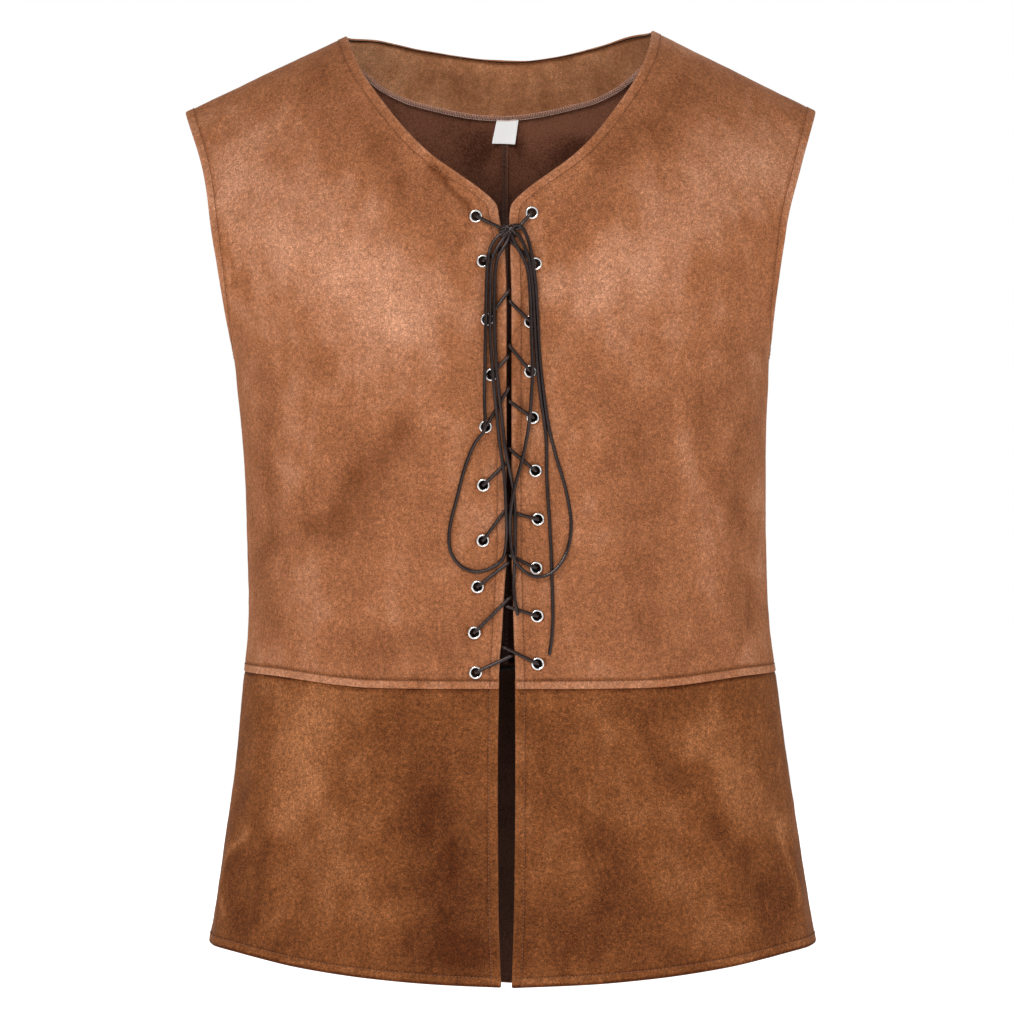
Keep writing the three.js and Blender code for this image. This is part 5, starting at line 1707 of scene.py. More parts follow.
@dataclass
class ClothPanel:
    """One cut panel of the vest, with its edges finished.

    `flat` is the size it is cut to, and `area` its flat area, in metres.
    """

    name: str
    cut: Cut
    borders: Sequence[Border]
    flat: tuple[float, float]
    area: float
    rests_on: tuple[str, ...]
    seed: float
    strip: bool = False
    eyelets: Sequence[Eyelet] = ()
    tucked: bool = False
    lift: Field | None = None
    shade: Field | None = None
    lining: Lining = Lining()
    slot: str = "suede"

    def __post_init__(self) -> None:
        """Works out the finished cloth, and how far it is from a turned and from a sewn edge."""
        self.grid = grid = self.cut.grid
        face, x, z = grid.face, grid.x, grid.z
        rise = FORM.fold_rise(face, x, z, MAIN_FOLDS + CREASES)
        rise = rise + 0.5 * mottle(x, z, 55, self.seed) + 0.16 * mottle(x, z, 17, self.seed + 4)
        self.turned = self.sewn = np.full(grid.shape, FAR)
        for border in self.borders:
            off, along = border.measured(grid.base)
            rise = rise + border.relief(off, along)
            if border.kind is Edge.TURNED:
                self.turned = np.minimum(self.turned, off)
            else:
                self.sewn = np.minimum(self.sewn, off)
        self.height = FORM.above_waist(face, x, z)
        if self.strip:
            raised = 1 - smoothstep(self.height, STRIP_HEIGHT - 0.5, STRIP_HEIGHT + 0.5)
            raised = raised * (0.1 + 0.9 * smoothstep(1 - np.abs(FORM.width_share(x, z)), 0, 0.12))
            rise = rise + (STRIP_RAISE + 0.12 * mottle(x, 0 * x, 7, self.seed)) * raised
            rise = rise - 0.4 * bell(self.height - STRIP_HEIGHT - 0.4, 0.7)
            near = np.where(self.height < 12, np.abs(self.height), FAR)
            self.turned = np.minimum(self.turned, near)
        for eyelet in self.eyelets:
            off = np.hypot(x - eyelet.x, z - eyelet.z)
            rise = rise - 0.38 * bell(off - 5.2, 1.7) + 0.3 * bell(off - 9, 3)
        if self.lift is not None:
            rise = rise + self.lift(x, z)
        self.outer = grid.base + grid.normal * rise[..., None]

    def edge_light(self) -> Array:
        """Painted light and shade on the cloth: highlights on turned edges and the waist strip, and shade in
        seams, along stitching, under the strip and at the hem.
        """
        x, z, height = self.grid.x, self.grid.z, self.height
        band = 1 - smoothstep(self.turned, STITCH_AT - 1.4, STITCH_AT - 0.4)
        # Painted highlight along turned edges and painted light on the doubled band inside the stitching.
        light = 0.3 * bell(self.turned, 1) + 0.08 * band
        # Painted shade in the seam groove, with painted light beside it.
        light = light - 1.7 * bell(self.sewn, 1.1) + 0.3 * bell(self.sewn - 3.2, 1.6)
        if self.strip:
            # Painted light on the waist strip, and painted shade just above it.
            light = np.maximum(light, 0.42 * (1 - smoothstep(height, 4.2, STRIP_HEIGHT)))
            light = light - 0.7 * bell(height - STRIP_HEIGHT - 0.3, 0.8)
        if self.tucked:
            hem = z - FORM.hem[self.grid.face](np.abs(FORM.width_share(x, z)))
            # Painted shadow under the waist strip.
            light = light - 3 * bell(height + 0.2, 1.1) * (1 + 0.4 * mottle(x, z, 9, 2.5))
            # Painted light on the hem band and painted shade on its rim.
            light = light + 0.3 * (1 - smoothstep(hem, 5.2, 6.2)) - 2 * bell(hem, 1)
        if self.shade is not None:
            light = light + self.shade(x, z)
        light = light * (1 + 0.5 * mottle(x, z, 16, 5.5))
        # Painted shade along the stitch line.
        return light - 0.5 * bell(self.turned - STITCH_AT, 0.7)

    def seats(self) -> list[Line]:
        """Where each eyelet sits on the finished cloth, and the way it faces."""
        x = np.array([e.x for e in self.eyelets])
        z = np.array([e.z for e in self.eyelets])
        return list(zip(FORM.cloth(self.grid.face, x, z), FORM.place(self.grid.face, x, z)[1]))

    def row(self, index: int) -> Line:
        """A row of the finished grid, and its outward directions."""
        return self.outer[index], self.grid.normal[index]

    def column(self, index: int, rows: slice = slice(None)) -> Line:
        """A column of the finished grid, or some rows of it, and its outward directions."""
        return self.outer[rows, index], self.grid.normal[rows, index]

    def make(self, outside: Material, inside: Material, on_it: Sequence[str] = ()) -> None:
        """Args:
            outside: the material of the cloth's right side.
            inside: the material of its wrong side.
            on_it: names of pieces that are sewn on it. Not used.
        """
        grid = self.grid
        tones = inner = {"nap": nap_at(grid.face, grid.x, grid.z), "light": self.edge_light()}
        if self.lining.thickness == CLOTH:
            depth = self.lining.turned_depth
            # Painted shade inside: darker in the depth of the vest and on the turned band.
            shade = dusk(grid.z) - 0.4 * (1 - smoothstep(self.turned, depth, depth + 1))
            inner = {"nap": nap_at(grid.face, grid.x, grid.z, INSIDE_PAINTED_LIGHT_AND_SHADE), "light": shade}
        at_waist = np.abs(grid.z - FORM.waist[grid.face](0)) < WAIST_CLEAR
        folded_in = np.where(self.strip & at_waist, FAR, self.turned)
        shell = Shell(grid, self.outer, self.lining, folded_in, tones, inner, holes=self.seats())
        piece = shell.build().object(f"{self.name}_cloth", [outside, inside])
        settle(piece, self.slot, self.name)


WAIST_ROWS = np.array([0, 0.35, 0.9, 1.8, 2.9, 3.9, 4.5, 4.9, 5.3, 5.8, 6.6, 8.0])
WAIST_RISE = float(WAIST_ROWS[-1])
STRIP_STITCH_ROW = 7
WAIST_CLEAR = 26.0  # how near the waist no turned edge shows on the inside
HEM_ROWS = inset(BESIDE_EDGE)
UNDER_STRIP = 6.0  # how far the skirt runs up behind the bodice's turned edge
ROWS = {"opening": 92, "corner": 16, "neck": 46, "side": 60, "centre": 110, "back_neck": 44}
UNDER = len(WAIST_ROWS) - 1 + ROWS["side"]  # the row at the foot of the armhole
BACK_NECK = len(WAIST_ROWS) - 1 + ROWS["centre"]  # the row at the foot of the back neckline
PUCKER = {"front": 0.2, "armhole": 0.24, "shoulder": 0.26, "hem": 0.3, "seam": 0.34}


@dataclass
class Bodice:
    """The four bodice panels, sewn at the shoulders, sides and centre back."""

    columns: int = 58
    reach: float = 0.25

    def __post_init__(self) -> None:
        """Cuts the panels."""
        self.fronts = {side: self.front(side) for side in (RIGHT, LEFT)}
        self.backs = {side: self.back(side) for side in (RIGHT, LEFT)}

    @staticmethod
    def waist_stretch(start: float, x_at: Curve) -> Stretch:
        """The stretch up the turned bottom edge."""
        return Stretch(up_path(start, start + WAIST_RISE, x_at), WAIST_ROWS / WAIST_RISE)

    def cut(self, face: Face, side: Side, inner: Sequence[Stretch], neck: int) -> tuple[Cut, list[Border]]:
        """A panel's cut up to its side seam and armhole, with the borders on that side.

        Args:
            face: front or back.
            side: right or left.
            inner: the stretches of its inner boundary.
            neck: the first row at which that boundary is free.

        Returns:
            The cut, and the borders at the armhole, the side seam and the shoulder.
        """
        seam, low = FORM.side_seam(side), float(FORM.waist[face](1))
        rows = sum(len(stretch.ends) - 1 for stretch in inner) - UNDER
        arm = up_path(UNDERARM, SHOULDERS[side].tip_z, FORM.armhole(side))
        outer = (
            self.waist_stretch(low, seam),
            Stretch(up_path(low + WAIST_RISE, UNDERARM, seam), even(ROWS["side"])),
            Stretch(arm, even(rows, tight_end=True)),
        )
        cut = Cut(
            face, inner, outer, self.columns, bottom=FORM.waist[face], reach=self.reach, crest=True,
            free_inner=neck, free_outer=UNDER,
        )
        line, seed = cut.lines.outer, (11.0 if face is FRONT else 31.0) + side.value
        return cut, [
            Border(line[UNDER:], Edge.TURNED, PUCKER["armhole"], seed + 1),
            Border(line[: UNDER + 1], Edge.SEWN, PUCKER["seam"], seed + 2),
            Border(cut.lines.top, Edge.SEWN, PUCKER["shoulder"], seed + 3),
        ]

    def front(self, side: Side) -> ClothPanel:
        """One front, from the laced edge to the side seam and armhole."""
        edge, start = FORM.front_edge[side], float(FORM.waist[FRONT](0))
        opening = up_path(start + WAIST_RISE, NECKLINE_Z[0][1], edge)
        cut, borders = self.cut(FRONT, side, (
            self.waist_stretch(start, edge),
            Stretch(opening, even(ROWS["opening"])),
            Stretch(neckline_path(side, 0, V_CORNER), even(ROWS["corner"])),
            Stretch(neckline_path(side, V_CORNER, 1), even(ROWS["neck"], tight_end=True)),
        ), 0)
        seed = 11.0 + side.value
        borders.insert(0, Border(cut.lines.inner, Edge.TURNED, PUCKER["front"], seed))
        return ClothPanel(
            f"bodice_front_{side.word}", cut, borders, (0.28, 0.52), 0.1085,
            (f"bodice_back_{side.word}", f"skirt_front_{side.word}"), seed, True, EYELETS[side],
        )

    def back(self, side: Side) -> ClothPanel:
        """One back, from the centre back seam to the side seam and armhole."""
        start, top = float(FORM.waist[BACK](0)), float(FORM.back_neckline(CENTRE_BACK))

        def centre(z: Array) -> Array:
            return CENTRE_BACK + 0 * z

        neckline = back_neck_path(CENTRE_BACK, SHOULDERS[side].neck_x)
        cut, borders = self.cut(BACK, side, (
            self.waist_stretch(start, centre),
            Stretch(up_path(start + WAIST_RISE, top, centre), even(ROWS["centre"], tight_end=True)),
            Stretch(neckline, even(ROWS["back_neck"], tight_end=True)),
        ), BACK_NECK)
        seed, line = 31.0 + side.value, cut.lines.inner
        borders[:0] = [
            Border(line[BACK_NECK:], Edge.TURNED, PUCKER["front"], seed),
            Border(line[: BACK_NECK + 1], Edge.SEWN, PUCKER["seam"], 29.0),
        ]
        return ClothPanel(
            f"bodice_back_{side.word}", cut, borders, (0.28, 0.5), 0.1155,
            (f"bodice_front_{side.word}", "skirt_back"), seed, True,
        )


@dataclass
class Skirt:
    """The flared skirt: two fronts and a back, sewn at the sides and hemmed."""

    sink: float = 0.75  # how far its top lies under the bodice's turned edge
    rows: int = 52
    columns_front: int = 60
    columns_back: int = 128

    def __post_init__(self) -> None:
        """Cuts the panels."""
        self.fronts = {side: self.front(side) for side in (RIGHT, LEFT)}
        self.back = self.back_panel()

    def stretches(self, face: Face, share: float, x_at: Curve) -> tuple[Stretch, ...]:
        """A boundary from the hem up behind the waist seam."""
        low, high = float(FORM.hem[face](share)), float(FORM.waist[face](share)) + UNDER_STRIP
        first, last = float(HEM_ROWS[0]), float(HEM_ROWS[-1])
        return (
            Stretch(up_path(low + first, low + last, x_at), (HEM_ROWS - first) / (last - first)),
            Stretch(up_path(low + last, high, x_at), even(self.rows, tight_end=True)),
        )

    def cut(self, face: Face, inner: Sequence[Stretch], side: Side, columns: int, free: int | None) -> Cut:
        """A skirt panel's cut, from its inner boundary to the side seam."""
        return Cut(
            face, inner, self.stretches(face, 1, FORM.side_seam(side)), columns,
            bottom=FORM.hem[face], top=lambda share: FORM.waist[face](share) + UNDER_STRIP,
            free_inner=free,
        )

    def tuck(self, face: Face) -> Field:
        """How the skirt's top sinks under the bodice's edge."""
        return lambda x, z: -self.sink * smoothstep(FORM.above_waist(face, x, z), -5, 1)

    def front(self, side: Side) -> ClothPanel:
        """One skirt front, from the open front edge to the side seam."""
        edge = self.stretches(FRONT, 0, FORM.front_edge[side])
        cut = self.cut(FRONT, edge, side, self.columns_front, 0)
        lines, seed = cut.lines, 51.0 + side.value
        borders = (
            Border(lines.inner, Edge.TURNED, PUCKER["front"], seed),
            Border(lines.bottom, Edge.TURNED, PUCKER["hem"], seed + 1),
            Border(lines.outer, Edge.SEWN, PUCKER["seam"], seed + 2),
        )
        return ClothPanel(
            f"skirt_front_{side.word}", cut, borders, (0.275, 0.23), 0.0545,
            (f"bodice_front_{side.word}", "skirt_back"), seed, tucked=True, lift=self.tuck(FRONT),
        )

    def back_panel(self) -> ClothPanel:
        """The skirt's back, from side seam to side seam."""
        seam = self.stretches(BACK, 1, FORM.side_seam(RIGHT))
        cut = self.cut(BACK, seam, LEFT, self.columns_back, None)
        lines = cut.lines
        borders = (
            Border(lines.bottom, Edge.TURNED, PUCKER["hem"], 61),
            Border(lines.inner, Edge.SEWN, PUCKER["seam"], 62),
            Border(lines.outer, Edge.SEWN, PUCKER["seam"], 63),
        )
        return ClothPanel(
            "skirt_back", cut, borders, (0.54, 0.25), 0.12, ("bodice_back_right", "bodice_back_left"),
            # Its hem shows no suede band inside: the dark wrong side runs to the edge as painted shade.
            60.0, tucked=True, lift=self.tuck(BACK), lining=Lining(CLOTH, -1, 0),
        )


UNDER_BACK = -(CLOTH + 0.3)  # lift of what lies on the inside of the back


class NeckInside:
    """What shows inside the back neck: the facing, the seam's allowance and the bare label."""

    FACING_STEPS = 120
    ALLOWANCE_ACROSS = np.array([-2.4, -1.9, -1.0, -0.3, 0.3, 1.0, 1.9, 2.4])
    ALLOWANCE_THICK = 0.9

    def facing(self) -> ClothPanel:
        """The crescent of suede inside the back neck."""
        reach = FACING_REACH
        lower = SmoothCurve((
            *FACING_EDGE_Z,
            *((-x, z) for x, z in FACING_EDGE_Z[1:]),
            *((s * reach, float(FORM.ridge(np.array(s * reach)))) for s in (-1, 1)),
        ))

        def edge(s: Array) -> Line:
            x = lerp(-reach, reach, s)
            return x, lower(x)

        neck = back_neck_path(SHOULDERS[RIGHT].neck_x, SHOULDERS[LEFT].neck_x)
        steps = even(self.FACING_STEPS)
        cut = Cut(BACK, (Stretch(neck, steps),), (Stretch(edge, steps),), 6, free_inner=0)
        neck_line = Border(cut.lines.inner, Edge.CUT, 0.05, 71)

        def from_neck(x: Array, z: Array) -> Array:
            return neck_line.measured(FORM.place(BACK, x, z)[0])[0]

        def lift(x: Array, z: Array) -> Array:
            off = from_neck(x, z)
            hang = -1.5 - 1.3 * smoothstep(off, 0, 12)
            creases = FORM.fold_rise(BACK, x, z, FACING_CREASES) * smoothstep(off, 0, 4)
            return hang + creases + 0.35 * mottle(x, z, 26, 7.7) * smoothstep(off, 4, 20)

        def shade(x: Array, z: Array) -> Array:
            # Painted light towards the wearer's right and painted shade under the neck edge.
            return 0.7 * smoothstep(-x, 55, 95) - 1.3 * bell(from_neck(x, z), 2.4)

        return ClothPanel(
            "back_neck_facing", cut, (Border(cut.lines.outer, Edge.CUT, 0.16, 72), neck_line),
            (0.27, 0.06), 0.0111, ("bodice_back_right",), 70.0, lift=lift, shade=shade,
            lining=Lining(1.1, -1, 0), slot="facing_suede",
        )

    def allowance(self, finish: Material) -> Line:
        """Makes the pressed edges of the centre back seam, as one narrow strip inside the back.

        Args:
            finish: the strip's material.

        Returns:
            The line along the middle of the strip's inner side, and the way it faces.
        """
        z, across = np.linspace(-50, -474, 150), self.ALLOWANCE_ACROSS
        x = CENTRE_BACK + across[None, :] + 0.35 * ripple(z, 30, 4.4)[:, None]
        z = np.repeat(z[:, None], len(across), axis=1)
        base, normal = FORM.place(BACK, x, z)
        rise = FORM.fold_rise(BACK, x, z, MAIN_FOLDS + CREASES) + UNDER_BACK - 0.25
        outer = base + normal * (rise + 0.3 * bell(across, 0.8))[..., None]
        # Darker on the left half and a painted highlight on the right; painted shade deeper in the vest.
        tones = {"nap": 0.2 - 0.5 * (across[None, :] < 0) + 0 * z, "light": dusk(z)}
        lining = Lining(self.ALLOWANCE_THICK, -1, 0)
        shell = Shell(Grid(BACK, x, z, base, normal), outer, lining, 0 * z + FAR, tones, tones, inner_slot=0)
        piece = shell.build().object("centre_back_allowance_cloth", [finish])
        settle(piece, "overlock", "centre_back_allowance")
        inner, middle = outer - normal * self.ALLOWANCE_THICK, len(across) // 2
        return (inner[:, middle - 1] + inner[:, middle]) / 2, -normal[:, middle - 1]

    def label(self, finish: Material) -> None:
        """The bare white label that hangs under the facing."""
        s = np.linspace(0, 1, 14)[:, None]
        t = np.linspace(0, 1, 12)[None, :]
        x = lerp(-2.4, 14.2, t) - lerp(4.0, 2.7, t) * s
        z = lerp(-52.4, -53.0, t) - 18.4 * s
        base, normal = FORM.place(BACK, x, z)
        curl = 1.3 * s**2 * (2 * t - 1) ** 2 + 0.9 * s**3
        rise = FORM.fold_rise(BACK, x, z, MAIN_FOLDS) + UNDER_BACK - 1.9 - curl
        outer, grid = base + normal * rise[..., None], Grid(BACK, x, z, base, normal)
        far = np.full(grid.shape, FAR)
        shell = Shell(grid, outer, Lining(0.35, -1, 0), far, {}, {}, inner_slot=0)
        piece = shell.build().object("neck_label_tape", [finish])
        settle(piece, "label", "neck_label")


@dataclass
class Sewing:
    """The threads that show: topstitching outside, overlocking inside."""

    tree: RepeatTree
    pitch: float = 2.55
    lock_pitch: float = 2.0

    def overlock(self, name: str, edge: Line, finish: Material, width: float, seed: int) -> None:
        """An overlocked edge, with the loops reaching to the right of its line."""
        places, piece = places_on(*edge, self.lock_pitch), overlock_piece(self.lock_pitch, width)
        self.sewn_on(self.tree.apply(name, places, piece, finish, 0.04, 0.05, seed), "overlock")

    @staticmethod
    def sewn_on(row: Object, slot: str) -> None:
        """Rides a row of thread on the vest."""
        row.data.polygons.foreach_set("use_smooth", [True] * len(row.data.polygons))
        settle(row, slot)

    def topstitch(self, bodice: Bodice, skirt: Skirt, thread: Material) -> None:
        """Topstitches every turned edge."""
        armhole = slice(UNDER - 2, None)
        for seed, side in enumerate((RIGHT, LEFT), 1):
            front, back = bodice.fronts[side], bodice.backs[side]
            lines = [
                front.column(STITCH_COLUMN, slice(1, None)),
                front.column(-1 - STITCH_COLUMN, armhole),
                front.row(STRIP_STITCH_ROW),
                back.column(STITCH_COLUMN, slice(BACK_NECK - 1, None)),
                back.column(-1 - STITCH_COLUMN, armhole),
                back.row(STRIP_STITCH_ROW),
                skirt.fronts[side].column(STITCH_COLUMN, slice(1, -4)),
                skirt.fronts[side].row(STITCH_COLUMN),
            ]
            if side is LEFT:
                lines.append(skirt.back.row(STITCH_COLUMN))
            places = joined([places_on(line, out, self.pitch) for line, out in lines])
            name = f"topstitching_{side.word}"
            row = self.tree.apply(name, places, stitch_piece(), thread, 0.05, 0.09, seed)
            self.sewn_on(row, "suede")


# ---- Eyelets ----


@dataclass
class EyeletRow:
    """The eyelets of one front: rolled rings outside and washers inside, set by Geometry Nodes."""

    side: Side
    sides: int = 40

    # The ring's section from the inside of the hole round: radius and height, in millimetres.
    SECTION = (
        (2.66, -1.9), (2.72, -0.8), (2.86, 0.1), (3.1, 0.62), (3.4, 0.98), (3.8, 1.2), (4.2, 1.14),
        (4.56, 0.84), (4.8, 0.46), (4.88, 0.1), (4.8, -0.1), (2.98, -0.1), (2.95, -1.75),
        (4.2, -1.75), (4.4, -1.9), (4.3, -2.15), (3.6, -2.35), (2.9, -2.4), (2.6, -2.25),
    )

    def ring(self) -> MeshData:
        """One eyelet, facing +z."""
        data = MeshData()
        turn = np.arange(self.sides) * 2 * math.pi / self.sides
        section = np.array(self.SECTION)
        around = np.stack([np.cos(turn), np.sin(turn)], axis=1)
        flat = section[:, None, :1] * around[None]
        height = np.repeat(section[:, None, 1:], self.sides, axis=1)
        points = np.concatenate([flat, height], axis=2)
        start = data.add_points(points, np.zeros((*points.shape[:2], 2)))
        count = len(section)
        faces = []
        for i in range(count):
            for k in range(self.sides):
                m, n = (i + 1) % count, (k + 1) % self.sides
                a, b = start + i * self.sides, start + m * self.sides
                faces.append((a + k, b + k, b + n, a + n))
        data.add_faces(faces)
        return data

    def make(self, panel: ClothPanel, tree: RepeatTree, finish: Material) -> None:
        """Sets the eyelets on the front's cloth, in place of their solids."""
        seats = panel.seats()
        points = np.array([p for p, _ in seats])
        out = np.array([n for _, n in seats])
        along = unit(np.cross(out, [0.0, 0.0, 1.0]))
        name = f"eyelets_{self.side.word}"
        piece = tree.apply(name, Places(points, along, out), self.ring(), finish, 0.0, 3.0, 5)
        solids = (f"eyelet_{self.side.word}_{n:02d}" for n in range(1, len(seats) + 1))
        settle(piece, "eyelet_metal", *solids)


# ---- The lace ----


@dataclass
class Lace:
    """The lace: held through the eyelets, tied in a bow, with two free ends."""

    finish: Material
    fine: int = 5

    @staticmethod
    def over_cloth(x: float, z: float, lift: float) -> Array:
        """A point of the lace's axis over the front."""
        return FORM.cloth(FRONT, np.array(x), np.array(z), lift)

    def in_knot(self, start: tuple[float, float, str]) -> Array:
        """A point inside the knot, in line with the place at which a cord leaves it."""
        x, z = lerp(start[0], KNOT_PLACE[0], 0.62), lerp(start[1], KNOT_PLACE[1], 0.62)
        return self.over_cloth(x, z, LIFT["knot"])

    def free(self, name: str, cord: Cord) -> Object:
        """A free loop or end, lying on the front along its route."""
        points = [self.over_cloth(x, z, LEVEL[level]) for x, z, level in cord.route]
        points.insert(0, self.in_knot(cord.route[0]))
        if cord.far_end == "object":
            points.append(self.in_knot(cord.route[-1]))
        line = through(np.array(points), self.fine)
        data = MeshData()
        add_tube(data, line, LACE, LACE_SIDES)
        piece = data.object(f"{name}_cord", [self.finish])
        settle(piece, "lace_cord", name)
        LOG.info("%s: %.3f m", piece.name, run_of(line)[-1] * MM)
        return piece

    def into_eyelet(self, eyelet: Eyelet, start: tuple[float, float]) -> list[Array]:
        """The lace's corners from `start` over the ring and in through one eyelet."""
        reach = RING_REACH / math.hypot(start[0] - eyelet.x, start[1] - eyelet.z)
        x, z = lerp(eyelet.x, start[0], reach), lerp(eyelet.z, start[1], reach)
        return [
            self.over_cloth(x, z, LIFT["ring"]),
            self.over_cloth(eyelet.x, eyelet.z, LIFT["ring"]),
            self.over_cloth(eyelet.x, eyelet.z, LIFT["inside_ring"]),
        ]

    def from_slit(self, side: Side, eyelet: Eyelet) -> list[Array]:
        """The lace's corners from the inside of the slit to the inside of an eyelet."""
        other = LEFT if side is RIGHT else RIGHT
        x = float(FORM.front_edge[other](eyelet.slit_z)) + side.value * DIVE
        return [
            self.over_cloth(x, eyelet.slit_z, LIFT["inside"]),
            self.over_cloth(x, eyelet.slit_z, LIFT["cloth"]),
            *self.into_eyelet(eyelet, (x, eyelet.slit_z)),
        ]

    def half(self, side: Side) -> list[Array]:
        """The corners of one half of the held lace, from the knot down."""
        other = LEFT if side is RIGHT else RIGHT
        x, z = LACE_EXIT[side]
        corners = [self.over_cloth(x, z, LIFT["knot"]), *self.into_eyelet(EYELETS[side][0], (x, z))]
        for i in range(1, len(EYELETS[side])):
            own = side if i % 2 == 0 else other
            corners += self.from_slit(own, EYELETS[own][i])
        return corners

    @staticmethod
    def rounded(corners: Sequence[Array], bend: float = 2.1, most: float = 0.47) -> Array:
        """A line of corners with each one rounded and the straights cut up."""
        line = [corners[0]]
        for k in range(1, len(corners) - 1):
            corner = corners[k]
            back, ahead = corners[k - 1] - corner, corners[k + 1] - corner
            near, far = np.linalg.norm(back), np.linalg.norm(ahead)
            turn = math.pi - math.acos(np.clip(back @ ahead / (near * far), -1, 1))
            reach = min(bend * math.tan(min(turn, 3.0) / 2), near * most, far * most)
            start, end = corner + back / near * reach, corner + ahead / far * reach
            for t in np.linspace(0, 1, 6):
                line.append((1 - t) ** 2 * start + 2 * t * (1 - t) * corner + t * t * end)
        line.append(corners[-1])
        points = np.array(line)
        keep = np.concatenate([[True], np.linalg.norm(np.diff(points, axis=0), axis=1) > 0.05])
        return points[keep]

    def held(self) -> Object:
        """The stretch of the lace that goes through the eyelets."""
        line = self.rounded([*self.half(RIGHT), *self.half(LEFT)[::-1]])
        data = MeshData()
        add_tube(data, line, LACE, LACE_SIDES)
        # Painted shade on the stretches of lace behind the cloth.
        x, y, z = data.points[0].T
        behind = y - FORM.cloth(FRONT, x, z)[:, 1]
        data.values["light"] = [-smoothstep(behind, 0, 2.5)]
        return self.lay(data, "lacing")

    def knot(self) -> Object:
        """The bow's knot: the lace wound round itself, with its crossing strands on top."""
        x, z = KNOT_PLACE
        centre = self.over_cloth(x, z, LIFT["knot"])
        turn = np.array(Matrix.Rotation(KNOT_TILT, 3, "Y"))
        data = MeshData()
        for strand in self.knot_strands():
            add_tube(data, centre + strand @ turn.T, LACE, LACE_SIDES)
        return self.lay(data, "lace_knot")

    @staticmethod
    def knot_strands() -> list[Array]:
        """The knot's strands about its middle, x along the knot and -y towards the front."""
        t = np.linspace(0, 1, 90)
        angle = 2 * math.pi * 3.1 * t + 0.8
        wound = np.stack([
            lerp(-3.7, 3.7, t) + 0.3 * np.sin(angle), 1.75 * np.cos(angle), 2.55 * np.sin(angle)
        ], axis=1)
        over = through(np.array([
            (-7.6, 0.9, -2.4), (-5.0, -1.4, -2.3), (-2.2, -3.1, -0.9), (1.2, -3.3, 0.7),
            (4.2, -2.3, 1.9), (7.4, -0.2, 1.5),
        ]), 8)
        under = through(np.array([
            (-7.0, 0.4, 1.0), (-4.6, -0.4, 0.6), (0, 0.2, 0), (4.6, -0.6, -0.4), (7.6, 0.2, -0.6),
        ]), 8)
        tail = through(np.array([
            (-5.4, -0.4, 2.6), (-3.0, -2.3, 2.9), (-0.4, -3.0, 1.7), (1.6, -2.8, -0.8),
            (2.6, -1.4, -3.0), (2.2, 0.6, -4.6),
        ]), 8)
        return [wound, over, under, tail]

    def lay(self, data: MeshData, node: str) -> Object:
        """Makes a stretch of the lace ride on the vest in place of its solid."""
        piece = data.object(f"{node}_cord", [self.finish])
        settle(piece, "lace_cord", node)
        return piece

    def make(self) -> None:
        """Lays the whole lace, the free cords first."""
        for name, cord in CORDS.items():
            self.free(name, cord)
        self.held()
        self.knot()


# ---- The studio ----


@dataclass(frozen=True)
class Lamp:
    """A soft area light that looks at the middle of the vest. Places are in metres."""

    name: str
    place: tuple[float, float, float]
    size: float
    watts: float
    colour: Colour = (1.0, 1.0, 1.0)


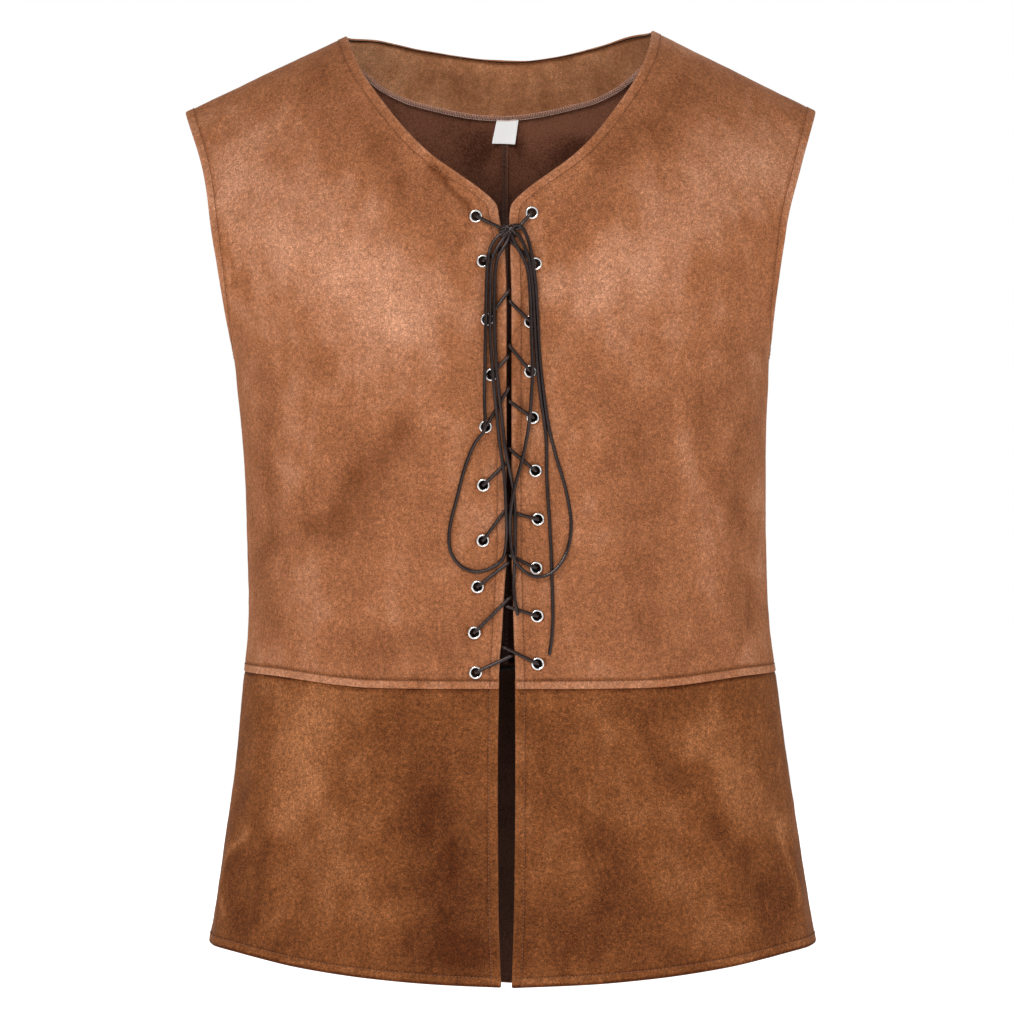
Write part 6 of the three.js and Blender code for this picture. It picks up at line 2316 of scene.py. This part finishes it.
@dataclass
class Studio:
    """A plain pale floor, soft light and the camera."""

    floor_z: float = -0.8
    floor_half: float = 6.0
    target: tuple[float, float, float] = (0.005, 0.0, -0.353)
    sky: float = 0.33  # how bright the white sky is as a light
    lamps: tuple[Lamp, ...] = (
        Lamp("key_light", (-0.9, -2.6, 1.5), 0.9, 41.0),
        Lamp("fill_light", (1.9, -2.4, 0.5), 1.5, 10.0),
        Lamp("back_light", (0.3, 2.4, 1.2), 1.6, 34.0),
    )

    def camera(self) -> None:
        """A long lens, level with the middle of the vest."""
        data = bpy.data.cameras.new("camera")
        data.sensor_width = 36.0
        data.lens = 147.46
        data.clip_start, data.clip_end = 0.05, 60.0
        camera = bpy.data.objects.new("camera", data)
        camera.location = (0.00525, -3.115, -0.35325)
        camera.rotation_euler = (math.pi / 2, 0.0, 0.0)
        bpy.context.scene.collection.objects.link(camera)
        bpy.context.scene.camera = camera

    def lights(self) -> None:
        """The lamps and a white sky."""
        for lamp in self.lamps:
            data = bpy.data.lights.new(lamp.name, "AREA")
            data.size, data.energy, data.color = lamp.size, lamp.watts, lamp.colour
            light = bpy.data.objects.new(lamp.name, data)
            light.location = lamp.place
            aim = Vector(self.target) - Vector(lamp.place)
            light.rotation_euler = aim.to_track_quat("-Z", "Y").to_euler()
            bpy.context.scene.collection.objects.link(light)
        world = bpy.data.worlds.new("white_sky")
        world.use_nodes = True
        t = ShaderTree(world.node_tree)
        sky = world.node_tree.nodes["Background"]
        sky.inputs["Color"].default_value = (1.0, 1.0, 1.0, 1.0)
        seen = t.node("ShaderNodeLightPath").outputs["Is Camera Ray"]
        t.feed(sky.inputs["Strength"], t.math("MULTIPLY_ADD", seen, 1 - self.sky, self.sky))
        bpy.context.scene.world = world
        bpy.context.scene.view_settings.view_transform = "Standard"

    def floor(self) -> None:
        """A pale floor that is seen from above only."""
        half = self.floor_half * 1000
        data = MeshData()
        corners = np.array([(-half, -half), (half, -half), (half, half), (-half, half)])
        height = np.full((4, 1), self.floor_z * 1000)
        data.add_points(np.concatenate([corners, height], axis=1), corners)
        data.add_faces([(0, 1, 2, 3)])
        material, t, shader = new_material("pale_floor")
        shader.inputs["Base Color"].default_value = (0.8, 0.8, 0.8, 1.0)
        shader.inputs["Roughness"].default_value = 1.0
        shader.inputs["Specular IOR Level"].default_value = 0.0
        shader.inputs["Emission Color"].default_value = (1.0, 1.0, 1.0, 1.0)
        shader.inputs["Emission Strength"].default_value = 0.75
        clear = t.node("ShaderNodeBsdfTransparent")
        pick = t.node("ShaderNodeMixShader")
        t.feed(pick.inputs[0], t.node("ShaderNodeNewGeometry").outputs["Backfacing"])
        t.feed(pick.inputs[1], shader.outputs[0])
        t.feed(pick.inputs[2], clear.outputs[0])
        end = next(n for n in material.node_tree.nodes if n.type == "OUTPUT_MATERIAL")
        t.feed(end.inputs["Surface"], pick.outputs[0])
        data.object("floor", [material])


# ---- The vest ----


def dress_neck(inside: NeckInside, finishes: Finishes, sewing: Sewing) -> None:
    """Makes the facing and the label, and overlocks the facing's edge."""
    facing = inside.facing()
    facing.make(finishes.wrong_side, finishes.facing)
    normal = facing.grid.normal[::-1, -3]
    line = facing.outer[::-1, -3] - normal * facing.lining.thickness
    sewing.overlock("facing_overlock", (line, -normal), finishes.overlock, FACING_LOCK, 21)
    inside.label(finishes.tape)


def main() -> None:
    logging.basicConfig(level=logging.INFO, format="%(name)s: %(message)s")
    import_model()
    studio = Studio()
    studio.camera()
    finishes = Finishes()
    tree = RepeatTree()
    Lace(finishes.lace).make()
    bodice, skirt, sewing, inside = Bodice(), Skirt(), Sewing(tree), NeckInside()
    edge = inside.allowance(finishes.wrong_side)
    sewing.overlock("centre_back_overlock", edge, finishes.seam_thread, SEAM_LOCK, 22)
    for side in (RIGHT, LEFT):
        bodice.fronts[side].make(finishes.bodice, finishes.wrong_side)
        on_it = ("centre_back_allowance_cloth", "centre_back_overlock") if side is RIGHT else ()
        bodice.backs[side].make(finishes.bodice, finishes.wrong_side, on_it)
        skirt.fronts[side].make(finishes.skirt, finishes.wrong_side)
        EyeletRow(side).make(bodice.fronts[side], tree, finishes.nickel)
    skirt.back.make(finishes.skirt, finishes.wrong_side)
    sewing.topstitch(bodice, skirt, finishes.topstitch)
    dress_neck(inside, finishes, sewing)
    studio.lights()
    studio.floor()


if __name__ == "__main__":
    main()
